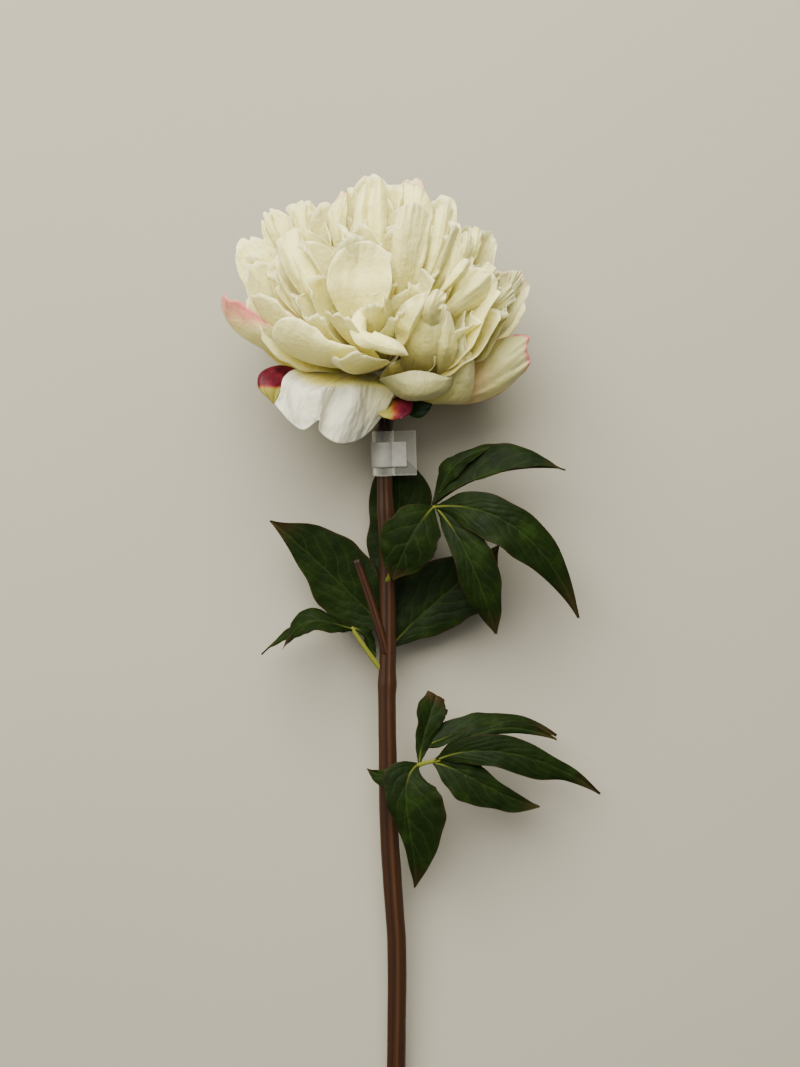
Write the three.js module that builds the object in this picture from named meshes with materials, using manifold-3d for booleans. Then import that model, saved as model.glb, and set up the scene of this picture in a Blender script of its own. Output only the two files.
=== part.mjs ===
// A cut peony lying on its side: one big cream bloom on a grooved brown stem, with four sprays of
// leaves, the stub of a cut side shoot and a blank price tag. Millimetres, +Z up off the surface.
//
// Everything is shaped in the stem's own frame: +Y runs up the stem from its cut end, +X across it and
// +Z away from the surface. The whole flower is then tipped by LAY_ANGLE, so that the cut end and the
// back of the bloom both touch the surface.
import * as THREE from "three";
import { mergeVertices } from "three/addons/utils/BufferGeometryUtils.js";
import Module from "manifold-3d";

const wasm = await Module();
wasm.setup();

const { degToRad, lerp, clamp } = THREE.MathUtils;
const vec = (p) => new THREE.Vector3(...p);

// Where the flower lies
const LAY_ANGLE = degToRad(5); // slope of the stem, from the cut end up to the bloom
const STEM_R_CUT = 5.2; // stem radius at the cut end
const STEM_R_NECK = 4.1; // stem radius below the bloom
const LIFT = STEM_R_CUT * Math.cos(LAY_ANGLE); // height of the stem's axis at its cut end
const FOOTPRINT_X = -13.4; // puts the middle of the footprint at the origin
const FOOTPRINT_Y = -293.5;
const SOFT = 3; // how far above the surface a pressed petal starts to bend flat
const UP = new THREE.Vector3(0, Math.sin(LAY_ANGLE), Math.cos(LAY_ANGLE));

// The bloom
const HEART = new THREE.Vector3(-4.2, 482, 12.5); // where the petals meet
const NOD = degToRad(38); // how far the bloom turns up from the stem's line
const LEAN = degToRad(-2); // and how far it leans to the side
const CORE_R = 10.5; // the core that the petals stand in
const CORE_H = 15;
const CORE_AT = 9;
const PETAL_T = 0.8;
const CLEAR = 0.35; // gap between two pieces that touch

// The stem and the leaves
const GROOVE_DEPTH = 0.24; // share of the stem's radius
const GROOVE_WIDTH = degToRad(20);
const LEAF_T = 0.8;
const PETIOLE_R = 1.25;

const AXIS = new THREE.Vector3(Math.sin(LEAN), Math.cos(NOD) * Math.cos(LEAN), Math.sin(NOD)).normalize();
const RIGHT = new THREE.Vector3(1, 0, 0).addScaledVector(AXIS, -AXIS.x).normalize();
const FRONT = new THREE.Vector3().crossVectors(RIGHT, AXIS);

const STEM_PATH = [
  [0, 0, 0],
  [1.6, 60, 0],
  [2.2, 115, 0],
  [2.6, 175, 0],
  [0.7, 208, 0],
  [-1.6, 245, 0],
  [-2.4, 284, 0],
  [-2.8, 317, 0],
  [-2.3, 350, 0],
  [-2.6, 394, 0],
  [-3.9, 434, 0],
  [-4.6, 456, 0.6],
];
const NODES_ALONG = [0.56, 0.74]; // where leaves leave the stem, as shares of its length

// The cubic curve that passes through four points at equal steps.
function curveThrough(points) {
  const [a, b, c, d] = points.map(vec);
  const mix = (wa, wb, wc, wd) =>
    new THREE.Vector3()
      .addScaledVector(a, wa / 6)
      .addScaledVector(b, wb / 6)
      .addScaledVector(c, wc / 6)
      .addScaledVector(d, wd / 6);
  return new THREE.CubicBezierCurve3(a, mix(-5, 18, -9, 2), mix(2, -9, 18, -5), d);
}

// A smooth curve of heights over equal steps from 0 to 1.
function profileThrough(values) {
  const last = values.length - 1;
  return (u) => {
    const at = clamp(u, 0, 1) * last;
    const i = Math.min(Math.floor(at), last - 1);
    const t = at - i;
    const slope = (k) => (values[Math.min(k + 1, last)] - values[Math.max(k - 1, 0)]) / 2;
    const [p, q, m, n] = [values[i], values[i + 1], slope(i), slope(i + 1)];
    const t2 = t * t;
    const t3 = t2 * t;
    return Math.max(
      (2 * t3 - 3 * t2 + 1) * p + (t3 - 2 * t2 + t) * m + (3 * t2 - 2 * t3) * q + (t3 - t2) * n,
      0.35,
    );
  };
}

// What reaches the surface is pressed flat on it.
function pressed(point, half) {
  const height = point.dot(UP) + LIFT;
  const soft = half + SOFT;
  if (height >= soft) return point;
  return point.addScaledVector(UP, half + SOFT * Math.exp((height - soft) / SOFT) - height);
}

// A thin closed solid on both sides of surface(u, v), with u from 0 to 1 and v from -1 to 1.
// Both faces are split along the same diagonals, so they never cross.
function blade(surface, along, across, thickness) {
  const row = across + 1;
  const side = (along + 1) * row;
  const position = new Float32Array(side * 6);
  const du = new THREE.Vector3();
  const dv = new THREE.Vector3();
  const step = 1e-3;
  for (let i = 0; i <= along; i++) {
    for (let j = 0; j <= across; j++) {
      const u = i / along;
      const v = (2 * j) / across - 1;
      du.copy(surface(Math.min(u + step, 1), v)).sub(surface(Math.max(u - step, 0), v));
      dv.copy(surface(u, Math.min(v + step, 1))).sub(surface(u, Math.max(v - step, -1)));
      const out = du.cross(dv).normalize().multiplyScalar(thickness / 2);
      const k = (i * row + j) * 3;
      const p = surface(u, v);
      p.clone().sub(out).toArray(position, k);
      p.clone().add(out).toArray(position, k + side * 3);
    }
  }
  const index = [];
  const quad = (a, b, c, d) => index.push(a, b, c, a, c, d);
  for (let i = 0; i < along; i++) {
    for (let j = 0; j < across; j++) {
      const a = i * row + j;
      const [b, c, d] = [a + 1, a + row + 1, a + row];
      index.push(a, b, c, a, c, d);
      index.push(a + side, c + side, b + side, a + side, d + side, c + side);
    }
    quad(i * row + side, i * row, (i + 1) * row, (i + 1) * row + side);
    const e = i * row + across;
    quad(e, e + side, e + row + side, e + row);
  }
  for (let j = 0; j < across; j++) {
    quad(j, j + side, j + 1 + side, j + 1);
    const e = along * row + j;
    quad(e + 1, e + 1 + side, e + side, e);
  }
  return new THREE.BufferGeometry()
    .setAttribute("position", new THREE.BufferAttribute(position, 3))
    .setIndex(index);
}

// A straight extrusion of a section, bent along a curve, with its own size and turn at each step.
function sweep(section, curve, steps, sizeAt, turnAt, ref) {
  const geometry = new THREE.ExtrudeGeometry(section, { depth: 1, steps, bevelEnabled: false });
  const position = geometry.getAttribute("position");
  const p = new THREE.Vector3();
  for (let i = 0; i < position.count; i++) {
    p.fromBufferAttribute(position, i);
    const t = clamp(p.z, 0, 1);
    const centre = curve.getPoint(t);
    const along = curve.getTangent(t);
    const side = new THREE.Vector3().crossVectors(along, ref).normalize();
    const top = new THREE.Vector3().crossVectors(side, along);
    const [size, turn] = [sizeAt(t), turnAt(t)];
    const x = (p.x * Math.cos(turn) - p.y * Math.sin(turn)) * size;
    const y = (p.x * Math.sin(turn) + p.y * Math.cos(turn)) * size;
    centre.addScaledVector(side, -x).addScaledVector(top, y);
    position.setXYZ(i, centre.x, centre.y, centre.z);
  }
  return geometry;
}

function roundSection(sides) {
  const points = [];
  for (let i = 0; i < sides; i++) {
    const angle = (2 * Math.PI * i) / sides;
    points.push(new THREE.Vector2(Math.cos(angle), Math.sin(angle)));
  }
  return new THREE.Shape(points);
}

// A round section with one groove along it, on the side that faces up and to the left.
function groovedSection(sides, at) {
  const points = [];
  for (let i = 0; i < sides; i++) {
    const angle = (2 * Math.PI * i) / sides;
    const off = Math.atan2(Math.sin(angle - at), Math.cos(angle - at));
    const r = 1 - GROOVE_DEPTH * Math.exp(-((off / GROOVE_WIDTH) ** 2));
    points.push(new THREE.Vector2(r * Math.cos(angle), r * Math.sin(angle)));
  }
  return new THREE.Shape(points);
}

// Geometry to solid and back
function solid(geometry) {
  const bare = geometry.clone();
  bare.deleteAttribute("normal");
  bare.deleteAttribute("uv");
  const merged = mergeVertices(bare, 1e-4);
  const made = new wasm.Manifold(
    new wasm.Mesh({
      numProp: 3,
      vertProperties: new Float32Array(merged.getAttribute("position").array),
      triVerts: new Uint32Array(merged.index.array),
    }),
  );
  if (made.volume() > 0) return made;
  throw new Error("a solid is inside out");
}

function geometryOf(made) {
  const mesh = made.getMesh();
  return new THREE.BufferGeometry()
    .setAttribute("position", new THREE.BufferAttribute(new Float32Array(mesh.vertProperties), 3))
    .setIndex([...mesh.triVerts]);
}

// The one body that holds together: loose scraps are dropped and sealed hollows are filled.
function oneBody(made) {
  return made.decompose().reduce((a, b) => (a.volume() > b.volume() ? a : b));
}

const fuse = (solids) => oneBody(wasm.Manifold.union(solids));

function mesh(name, geometry, colour, roughness, more = {}) {
  const shown = geometry.index ? geometry.toNonIndexed() : geometry;
  shown.computeVertexNormals();
  const made = new THREE.Mesh(
    shown,
    new THREE.MeshStandardMaterial({ color: colour, roughness, metalness: 0, ...more }),
  );
  made.name = name;
  return made;
}

// Petals. az is the way a petal points round the bloom's axis: 0 is the side that faces up and towards
// the stem, 90 the right. out and reach place its tip, as an angle from the axis and a distance from the
// heart. leave and arrive are the angles at which its middle leaves the core and ends.
const PETAL = {
  side: 0,
  leave: 60,
  arrive: 10,
  width: 48,
  cup: 35,
  roll: 0,
  twist: 0,
  wide: 0.7,
  narrow: 0.28,
  round: 0.22,
  notch: 0,
  notchAt: 0,
  wave: 2,
  waves: 4,
  phase: 0,
  claw: 0.22,
};

function petalSurface(petal) {
  const { az, out, reach, side, leave, arrive, width, cup, roll, twist } = petal;
  const around = degToRad(az);
  const radial = FRONT.clone().multiplyScalar(Math.cos(around)).addScaledVector(RIGHT, Math.sin(around));
  const across = new THREE.Vector3().crossVectors(AXIS, radial);
  const toward = (angle) =>
    radial
      .clone()
      .multiplyScalar(Math.sin(degToRad(angle)))
      .addScaledVector(AXIS, Math.cos(degToRad(angle)));
  const from = degToRad(leave);
  const root = HEART.clone()
    .addScaledVector(AXIS, 3 + 14 * Math.cos(from))
    .addScaledVector(radial, 5 * Math.sin(from));
  const tip = HEART.clone().addScaledVector(toward(out), reach).addScaledVector(across, side);
  const span = root.distanceTo(tip);
  const rib = new THREE.CubicBezierCurve3(
    root,
    root.clone().addScaledVector(toward(leave), span * 0.42),
    tip.clone().addScaledVector(toward(arrive), -span * 0.36),
    tip,
  );
  return (u, v) => {
    const rim = Math.abs(v);
    const dent = petal.notch * Math.exp(-(((v - petal.notchAt) / 0.13) ** 2));
    const s = u * (1 - petal.round * rim ** 2.4 - dent * u * u);
    const along = rib.getTangent(s);
    const inward = new THREE.Vector3().crossVectors(along, across).normalize();
    const turn = degToRad(roll + twist * (s - 0.5));
    const x = across.clone().multiplyScalar(Math.cos(turn)).addScaledVector(inward, Math.sin(turn));
    const y = inward.multiplyScalar(Math.cos(turn)).addScaledVector(across, -Math.sin(turn));
    const grown = Math.sin((Math.PI / 2) * Math.min(1, u / petal.wide)) ** 1.3;
    const past = Math.max(0, (u - petal.wide) / (1 - petal.wide));
    const half = (width / 2) * (petal.claw + (1 - petal.claw) * grown) * (1 - petal.narrow * past * past);
    const bend = degToRad(cup) * (0.4 + 0.6 * s) + 1e-4;
    const margin = 1 - (1 - rim ** 2.5) * (1 - u ** 4);
    const ripple = petal.wave * margin * Math.sin(petal.waves * Math.atan2(0.8 * v, u - 0.3) + petal.phase);
    const point = rib
      .getPoint(s)
      .addScaledVector(x, (half * Math.sin(bend * v)) / bend)
      .addScaledVector(y, (half * (1 - Math.cos(bend * v))) / bend + ripple * u);
    return pressed(point, PETAL_T / 2);
  };
}

// The petals, each placed by eye
const PETALS = [
  // Outer petals on the side that faces up
  { az: -36, out: 84, reach: 54, leave: 46, arrive: 162, width: 70, cup: -24, side: -6, notch: 0.2 },
  { az: -86, out: 46, reach: 98, leave: 72, arrive: -26, width: 62, cup: 62, roll: 44 },
  { az: -74, out: 37, reach: 98, leave: 60, arrive: 0, width: 48, cup: 50, roll: 30 },
  { az: -48, out: 33, reach: 92, leave: 62, arrive: -22, width: 62, cup: 58, roll: 26 },
  { az: 33, out: 43, reach: 72, leave: 78, arrive: -34, width: 56, cup: 58, roll: -5 },
  { az: 60, out: 42, reach: 82, leave: 74, arrive: -12, width: 38, cup: 50, roll: -20 },
  { az: 82, out: 62, reach: 90, leave: 86, arrive: 0, width: 60, cup: 58, roll: -38 },
  // Broad petals on the right
  { az: 80, out: 43, reach: 86, leave: 60, arrive: 20, width: 34, cup: 40, roll: 30 },
  { az: 84, out: 36, reach: 98, leave: 46, arrive: 35, width: 44, cup: 35, roll: 45 },
  { az: 106, out: 52, reach: 97, leave: 60, arrive: 42, width: 42, cup: 35, roll: 30 },
  { az: 114, out: 36, reach: 104, leave: 45, arrive: 30, width: 34, cup: 35, roll: 40 },
  { az: 108, out: 23, reach: 106, leave: 30, arrive: 20, width: 26, cup: 40, roll: 40 },
  { az: 140, out: 30, reach: 110, leave: 36, arrive: 25, width: 30, cup: 40, roll: 20 },
  // The fan at the top
  { az: 150, out: 15, reach: 108, leave: 22, arrive: 10, width: 28, cup: 35, side: -5 },
  { az: 162, out: 25, reach: 114, leave: 30, arrive: 22, width: 28, cup: 35, side: -3 },
  { az: -176, out: 23, reach: 116, leave: 28, arrive: 16, width: 28, cup: 40 },
  { az: 176, out: 18, reach: 110, leave: 24, arrive: 14, width: 22, cup: 45 },
  { az: -160, out: 22, reach: 111, leave: 30, arrive: 18, width: 27, cup: 40, roll: -10 },
  { az: -142, out: 33, reach: 109, leave: 42, arrive: 28, width: 28, cup: 40, roll: -20 },
  { az: -138, out: 22, reach: 108, leave: 30, arrive: 16, width: 26, cup: 35, roll: -30 },
  // Broad petals on the left
  { az: -110, out: 26, reach: 105, leave: 34, arrive: 24, width: 32, cup: 32, roll: -45 },
  { az: -128, out: 39, reach: 114, leave: 48, arrive: 34, width: 24, cup: 30, roll: -30 },
  { az: -114, out: 44, reach: 110, leave: 52, arrive: 36, width: 34, cup: 35, roll: -40 },
  { az: -100, out: 41, reach: 102, leave: 52, arrive: 30, width: 36, cup: 35, roll: -35 },
  // The middle
  { az: 180, out: 0, reach: 97, side: 11, leave: 6, arrive: 20, width: 44, cup: 22, roll: -5, round: 0.3, wide: 0.85 },
  { az: 28, out: 31, reach: 80, leave: -4, arrive: 100, width: 18, cup: 30 },
  { az: -64, out: 30, reach: 88, leave: 40, arrive: 20, width: 24, cup: 35, roll: -20 },
  { az: -34, out: 24, reach: 86, leave: 34, arrive: 14, width: 22, cup: 40 },
  { az: -14, out: 34, reach: 78, leave: 48, arrive: 20, width: 24, cup: 40 },
  { az: 10, out: 34, reach: 78, leave: 50, arrive: 20, width: 24, cup: 40 },
  { az: 56, out: 20, reach: 90, leave: 28, arrive: 15, width: 34, cup: 40, roll: 36 },
  { az: 46, out: 34, reach: 84, leave: 44, arrive: 15, width: 34, cup: 46, roll: 20 },
  { az: -150, out: 10, reach: 94, leave: 20, arrive: 5, width: 26, cup: 40, roll: -20 },
  { az: 160, out: 8, reach: 92, leave: 15, arrive: 5, width: 24, cup: 40, roll: 10, side: -6 },
  // The back, pressed on the surface
  { az: 122, out: 72, reach: 92, leave: 84, arrive: 50, width: 50, cup: 44 },
  { az: 154, out: 90, reach: 94, leave: 96, arrive: 72, width: 54, cup: 30 },
  { az: -160, out: 90, reach: 96, leave: 96, arrive: 72, width: 54, cup: 30 },
  { az: -126, out: 72, reach: 94, leave: 84, arrive: 48, width: 50, cup: 44 },
  { az: 138, out: 52, reach: 100, leave: 64, arrive: 34, width: 42, cup: 44 },
  { az: 168, out: 42, reach: 106, leave: 56, arrive: 30, width: 38, cup: 44 },
  { az: -168, out: 46, reach: 106, leave: 58, arrive: 34, width: 38, cup: 44 },
  { az: -146, out: 56, reach: 104, leave: 64, arrive: 36, width: 42, cup: 44 },
];

// Wide petals are split more finely than narrow ones.
function cellsOf(width) {
  if (width > 40) return [5, 5];
  return width > 30 ? [5, 4] : [4, 3];
}

// The bloom: its petals, fused where they stand in the core
function coreGeometry() {
  const profile = [];
  const steps = 8;
  for (let i = 0; i <= steps; i++) {
    const angle = -Math.PI / 2 + (Math.PI * i) / steps;
    const r = i === 0 || i === steps ? 0 : CORE_R * Math.cos(angle);
    profile.push(new THREE.Vector2(r, CORE_AT + CORE_H * Math.sin(angle)));
  }
  return alongAxis(new THREE.LatheGeometry(profile, 14));
}

// Turns a shape made round +Y so that it stands at the heart, along the bloom's axis.
function alongAxis(geometry) {
  const turn = new THREE.Quaternion().setFromUnitVectors(new THREE.Vector3(0, 1, 0), AXIS);
  return geometry.applyQuaternion(turn).translate(HEART.x, HEART.y, HEART.z);
}

function bloom() {
  const petals = PETALS.map((petal) =>
    solid(blade(petalSurface({ ...PETAL, ...petal }), ...cellsOf(petal.width), PETAL_T)),
  );
  return mesh("bloom", geometryOf(fuse([solid(coreGeometry()), ...petals])), 0xe9e6cf, 0.75);
}

// The calyx: a cup under the core, with three reddish sepals and two green bracts
const SEPALS = [
  { az: -86, out: 86, reach: 66, leave: 84, arrive: 125, width: 36, cup: 34, narrow: 0.4 },
  { az: 30, out: 62, reach: 31, leave: 94, arrive: 10, width: 25, cup: 50 },
  { az: 150, out: 92, reach: 34, leave: 108, arrive: 74, width: 20, cup: 34 },
];
const BRACTS = [
  { az: 64, out: 80, reach: 37, leave: 98, arrive: 45, width: 20, cup: 40, narrow: 0.5 },
  { az: -150, out: 96, reach: 38, leave: 112, arrive: 80, width: 13, cup: 20 },
];

function sepalSurface(spec) {
  const surface = petalSurface({ ...PETAL, wave: 0, claw: 0.5, wide: 0.5, narrow: 0.75, round: 0.25, ...spec });
  const drop = AXIS.clone().multiplyScalar(-9.5);
  return (u, v) => surface(u, v).addScaledVector(drop, 1 - 0.55 * u);
}

function calyx() {
  const cup = [
    [0, -11],
    [4.6, -11],
    [9.2, -7.5],
    [11.2, -3.2],
    [10.3, -2.6],
    [7.6, -4.4],
    [4.2, -6.0],
    [0, -6.8],
  ].map((p) => new THREE.Vector2(...p));
  const base = solid(alongAxis(new THREE.LatheGeometry(cup, 18)));
  const leaves = [...SEPALS, ...BRACTS].map((spec) => solid(blade(sepalSurface(spec), 5, 4, LEAF_T)));
  const clear = alongAxis(new THREE.CylinderGeometry(CORE_R + 1.2, CORE_R - 3.5, 16, 16).translate(0, 5.6, 0));
  return mesh("calyx", geometryOf(oneBody(fuse([base, ...leaves]).subtract(solid(clear)))), 0x8a3a3c, 0.55);
}

// The stem, with the stub of a cut side shoot
const neckEnd = HEART.clone().addScaledVector(AXIS, -11 - CLEAR);
const stemCurve = new THREE.CatmullRomCurve3(
  [...STEM_PATH.map(vec), neckEnd.clone().addScaledVector(AXIS, -7), neckEnd],
  false,
  "catmullrom",
);

function stemRadius(t) {
  const swell = NODES_ALONG.reduce((sum, at) => sum + 0.5 * Math.exp(-(((t - at) / 0.012) ** 2)), 0);
  return lerp(STEM_R_CUT, STEM_R_NECK, THREE.MathUtils.smoothstep(t, 0.3, 0.85)) + swell;
}

const stemTurn = (t) => degToRad(-20) * Math.max(0, 1 - t / 0.45);
const TOWARD_US = new THREE.Vector3(0, 0, 1);

function stem() {
  const groove = degToRad(70);
  const main = sweep(groovedSection(14, groove), stemCurve, 40, stemRadius, stemTurn, TOWARD_US);
  const stubCurve = curveThrough([
    [-3.4, 343, 1.5],
    [-7.2, 358, 3.2],
    [-12.8, 376, 4.4],
    [-19.1, 394.2, 5.5],
  ]);
  const stub = sweep(groovedSection(10, groove), stubCurve, 5, (t) => lerp(2.5, 2.1, t), () => 0, TOWARD_US);
  return mesh("stem", geometryOf(fuse([solid(main), solid(stub)])), 0x5a2f1a, 0.5);
}

// What the leaves keep clear of: the stem, a little fatter
const stemRoom = solid(
  sweep(roundSection(12), stemCurve, 44, (t) => stemRadius(t) * 1.04 + CLEAR, () => 0, TOWARD_US),
);

// Leaves. A leaflet has a rib through four points, half widths along its left and right sides, the way
// its face looks, and the angle by which its two halves fold up along the rib.
function leafletSurface({ rib, left, right, face, fold = 12, curl = 0.12, wave = 0.8, phase = 0 }) {
  const curve = curveThrough(rib);
  const [leftAt, rightAt] = [profileThrough(left), profileThrough(right)];
  const look = vec(face).normalize();
  const lift = degToRad(fold);
  return (u, v) => {
    const along = curve.getTangent(u);
    const up = look.clone().addScaledVector(along, -look.dot(along)).normalize();
    const side = new THREE.Vector3().crossVectors(along, up);
    const half = v < 0 ? leftAt(u) : rightAt(u);
    const rise = Math.abs(v) * half * Math.sin(lift) - curl * half * v * v;
    const ripple = wave * v * v * Math.sin(9 * u + phase + (v < 0 ? 1.3 : 0));
    const point = curve
      .getPoint(u)
      .addScaledVector(side, v * half * Math.cos(lift))
      .addScaledVector(up, rise + ripple);
    return pressed(point, LEAF_T / 2);
  };
}

// A spray: its leaf stalks and leaflets, fused, and cut clear of the stem that it grows from
function spray(name, stalks, leaflets) {
  const stalkSolids = stalks.map(({ path, from, to }) =>
    solid(sweep(roundSection(6), curveThrough(path), 6, (t) => lerp(from, to, t), () => 0, TOWARD_US)),
  );
  const blades = leaflets.map((leaflet) => solid(blade(leafletSurface(leaflet), 8, 4, LEAF_T)));
  const whole = wasm.Manifold.union([...stalkSolids, ...blades]).subtract(stemRoom);
  return mesh(name, geometryOf(oneBody(whole)), 0x1f3a1c, 0.5, { side: THREE.DoubleSide });
}

const SPRAYS = {
  leaf_upper_right: {
    stalks: [
      { path: [[-2.5, 382, 2], [4, 396, 9.5], [13, 411, 13], [23, 424.2, 14.5]], from: 1.5, to: 1.1 },
    ],
    leaflets: [
      {
        rib: [[22.3, 424, 14.5], [44, 438, 20], [68, 444, 21], [91.6, 443.6, 18]],
        left: [1, 18, 20, 18, 14, 7, 0.5],
        right: [0.8, 3, 4, 4, 3, 2, 0.5],
        face: [-0.25, 1, 0.55],
        fold: 42,
      },
      {
        rib: [[25.5, 431, 15], [32, 444, 17], [41.5, 451, 17], [54, 456, 14]],
        left: [0.8, 7, 4, 3, 0.5],
        right: [0.8, 5, 5, 3, 0.5],
        face: [-0.3, 0.5, 1],
      },
      {
        rib: [[23, 423.5, 14.5], [50, 421, 24], [77, 402, 21], [100.4, 362.8, 5]],
        left: [1, 8, 10, 11, 10, 6.5, 0.5],
        right: [1, 9, 13, 14, 11, 6, 0.5],
        face: [0.1, 0.2, 1],
        fold: 8,
      },
      {
        rib: [[24, 422.5, 14.5], [37, 404, 23], [47.5, 380, 21], [55.7, 355, 10]],
        left: [1, 9, 12, 13, 11, 7, 0.5],
        right: [1, 5, 7, 9, 9, 6, 0.5],
        face: [0, 0.1, 1],
        fold: 8,
      },
      {
        rib: [[22.5, 424, 14.5], [13, 413, 22], [6, 400, 22], [0, 384.6, 15]],
        left: [1, 12, 15, 15, 12, 0.5],
        right: [1, 11, 15, 15, 10, 0.5],
        face: [0.1, 0, 1],
        fold: 4,
      },
    ],
  },
  leaf_back: {
    stalks: [
      { path: [[-2.4, 340, -2], [-2.4, 346, -7], [-2.2, 353, -9.5], [-1.6, 361, -11]], from: 1.7, to: 1.2 },
    ],
    leaflets: [
      {
        rib: [[-3.5, 356, -9], [-19, 370, -12], [-41, 392, -8], [-66, 414.8, -2]],
        left: [1, 12, 16, 16, 11, 5, 0.5],
        right: [1, 13, 18, 21, 21, 12, 0.5],
        face: [0, 0.1, 1],
        fold: 9,
      },
      {
        rib: [[-2.2, 358, -10], [2, 388, -16], [4, 420, -19], [3.2, 453, -13]],
        left: [1, 8, 14, 17, 17, 14, 0.5],
        right: [1, 9, 15, 18, 18, 14, 0.5],
        face: [0, 0.1, 1],
        fold: 8,
      },
      {
        rib: [[-1, 344, -9], [16, 362, -12], [37, 380, -14], [58.7, 400, -15]],
        left: [1, 12, 19, 22, 17, 8, 0.5],
        right: [1, 8, 14, 18, 20, 14, 0.5],
        face: [0, 0.1, 1],
        fold: 8,
      },
    ],
  },
  leaf_left: {
    stalks: [
      { path: [[-3, 331, 0], [-9, 338, 1], [-16, 348, 1.5], [-22, 357, 1]], from: 1.5, to: 1.1 },
    ],
    leaflets: [
      {
        rib: [[-21, 356, 1], [-35, 361, 10], [-48, 360, 11], [-59, 345.8, 4]],
        left: [0.8, 7, 8, 6, 0.5],
        right: [0.8, 7, 9, 7, 0.5],
        face: [-0.2, 0.9, 0.8],
        fold: 10,
      },
      {
        rib: [[-21, 356.5, 1], [-38, 358, 2], [-54, 354.5, 0], [-71, 341, -6]],
        left: [0.8, 4, 5, 4, 0.5],
        right: [0.8, 4, 5, 5, 0.5],
        face: [-0.2, 0.8, 0.5],
        fold: 10,
      },
      {
        rib: [[-21.5, 356.5, 1], [-16, 354, 1], [-12, 347, 0], [-10, 339, 0]],
        left: [0.8, 4, 5, 3, 0.5],
        right: [0.8, 2, 2, 1.5, 0.5],
        face: [0.6, 0.4, 1],
        fold: 14,
      },
    ],
  },
  leaf_lower_right: {
    stalks: [
      { path: [[-0.8, 262, 1.5], [5.5, 271, 10], [10, 279, 14], [15, 285, 15.5]], from: 1.5, to: 1.2 },
      { path: [[14.4, 284.6, 15.5], [18, 286, 16.5], [22, 287, 17], [27, 288, 17.5]], from: 1.2, to: 1 },
    ],
    leaflets: [
      {
        rib: [[14, 285, 15.5], [7.5, 270, 22], [10.5, 244, 19], [12.4, 215, 8]],
        left: [1, 14, 19, 20, 17, 8, 0.5],
        right: [1, 12, 12, 8, 5, 3, 0.5],
        face: [0, 0, 1],
        fold: 8,
      },
      {
        rib: [[12, 284, 16], [2, 281, 19], [-6, 280, 17], [-13.5, 282, 14]],
        left: [1, 5, 8, 5, 0.5],
        right: [1, 3, 3, 2, 0.5],
        face: [0, 0, 1],
        fold: 8,
      },
      {
        rib: [[14.5, 286, 15.5], [16.5, 298, 14], [20, 310, 12], [24, 321, 7]],
        left: [0.8, 3.5, 6, 9, 6],
        right: [0.8, 5, 7, 8, 6],
        face: [0.3, 0, 1],
        fold: 16,
      },
      {
        rib: [[18, 303, 11], [22, 308, 10], [26, 311, 8], [30, 311.5, 7]],
        left: [1.5, 3, 3, 1.5],
        right: [2, 4, 4, 1.5],
        face: [0.3, 0, 1],
        fold: 10,
      },
      {
        rib: [[16.5, 294, 13], [36, 301.5, 12], [60, 306, 8], [89.4, 297, 0]],
        left: [0.8, 8, 8, 8, 6, 5, 0.5],
        right: [0.8, 5, 2, 1.5, 1.5, 1.5, 0.5],
        face: [-0.2, 0.8, 0.8],
        fold: 22,
      },
      {
        rib: [[22, 286.5, 16.5], [48, 294, 23], [80, 287, 19], [112.8, 266.8, 7]],
        left: [0.8, 5, 9, 9, 6, 4, 0.5],
        right: [0.8, 5, 8, 9, 10, 4, 0.5],
        face: [0, 0.15, 1],
        fold: 8,
      },
      {
        rib: [[24, 288, 17.5], [42, 301, 20], [63, 305, 17], [88.9, 297, 9]],
        left: [0.8, 3, 5, 3, 4, 3, 0.5],
        right: [0.8, 5, 6, 3, 3, 2, 0.5],
        face: [0, 0.3, 1],
        fold: 8,
      },
      {
        rib: [[22, 286, 16.5], [38, 281, 20], [58, 270, 18], [80.1, 260.1, 9]],
        left: [0.8, 7, 9, 7, 5, 3, 0.5],
        right: [0.8, 8, 13, 13, 10, 6, 0.5],
        face: [0, 0.1, 1],
        fold: 8,
      },
    ],
  },
};

// The tag: a clear sleeve looped round the stem and closed into a flag, and the paper label on it.
// Both are sections across the stem, pulled straight along it.
const TAG_X = -4.6;
const TAG_Y = 451.5;
const TAG_Z = 0.5;
const TAG_SLOPE = degToRad(3); // follows the start of the bend in the neck
const TAG_TURN = degToRad(1.5);
const SLEEVE_R = 5.6; // inside the loop
const FILM_T = 0.6;
const SLEEVE_LONG = 24;
const FLAG_END = 17.6; // from the stem's axis to the flag's free edge
const FLAG_Z = 3.8; // height of the flag's underside over the stem's axis
const LABEL_LONG = 13.4;
const LABEL_END = 12.4;
const LABEL_START = degToRad(165);
const LABEL_Y = -0.5; // middle of the label, from the middle of the sleeve

function sleeveSection() {
  const outer = SLEEVE_R + FILM_T;
  const under = Math.asin(FLAG_Z / outer);
  const over = Math.asin((FLAG_Z + FILM_T) / outer);
  const shape = new THREE.Shape();
  shape.moveTo(FLAG_END, FLAG_Z);
  shape.lineTo(FLAG_END, FLAG_Z + FILM_T);
  shape.absarc(0, 0, outer, over, under + 2 * Math.PI, false);
  shape.lineTo(FLAG_END, FLAG_Z);
  shape.holes.push(new THREE.Path().absarc(0, 0, SLEEVE_R, 0, 2 * Math.PI, true));
  return shape;
}

function labelSection() {
  const inner = SLEEVE_R + FILM_T + CLEAR;
  const outer = inner + FILM_T;
  const bottom = FLAG_Z + FILM_T + CLEAR;
  const top = bottom + FILM_T;
  const shape = new THREE.Shape();
  shape.moveTo(LABEL_END, bottom);
  shape.lineTo(LABEL_END, top);
  shape.absarc(0, 0, outer, Math.asin(top / outer), LABEL_START, false);
  shape.absarc(0, 0, inner, LABEL_START, Math.asin(bottom / inner), true);
  return shape;
}

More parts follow.
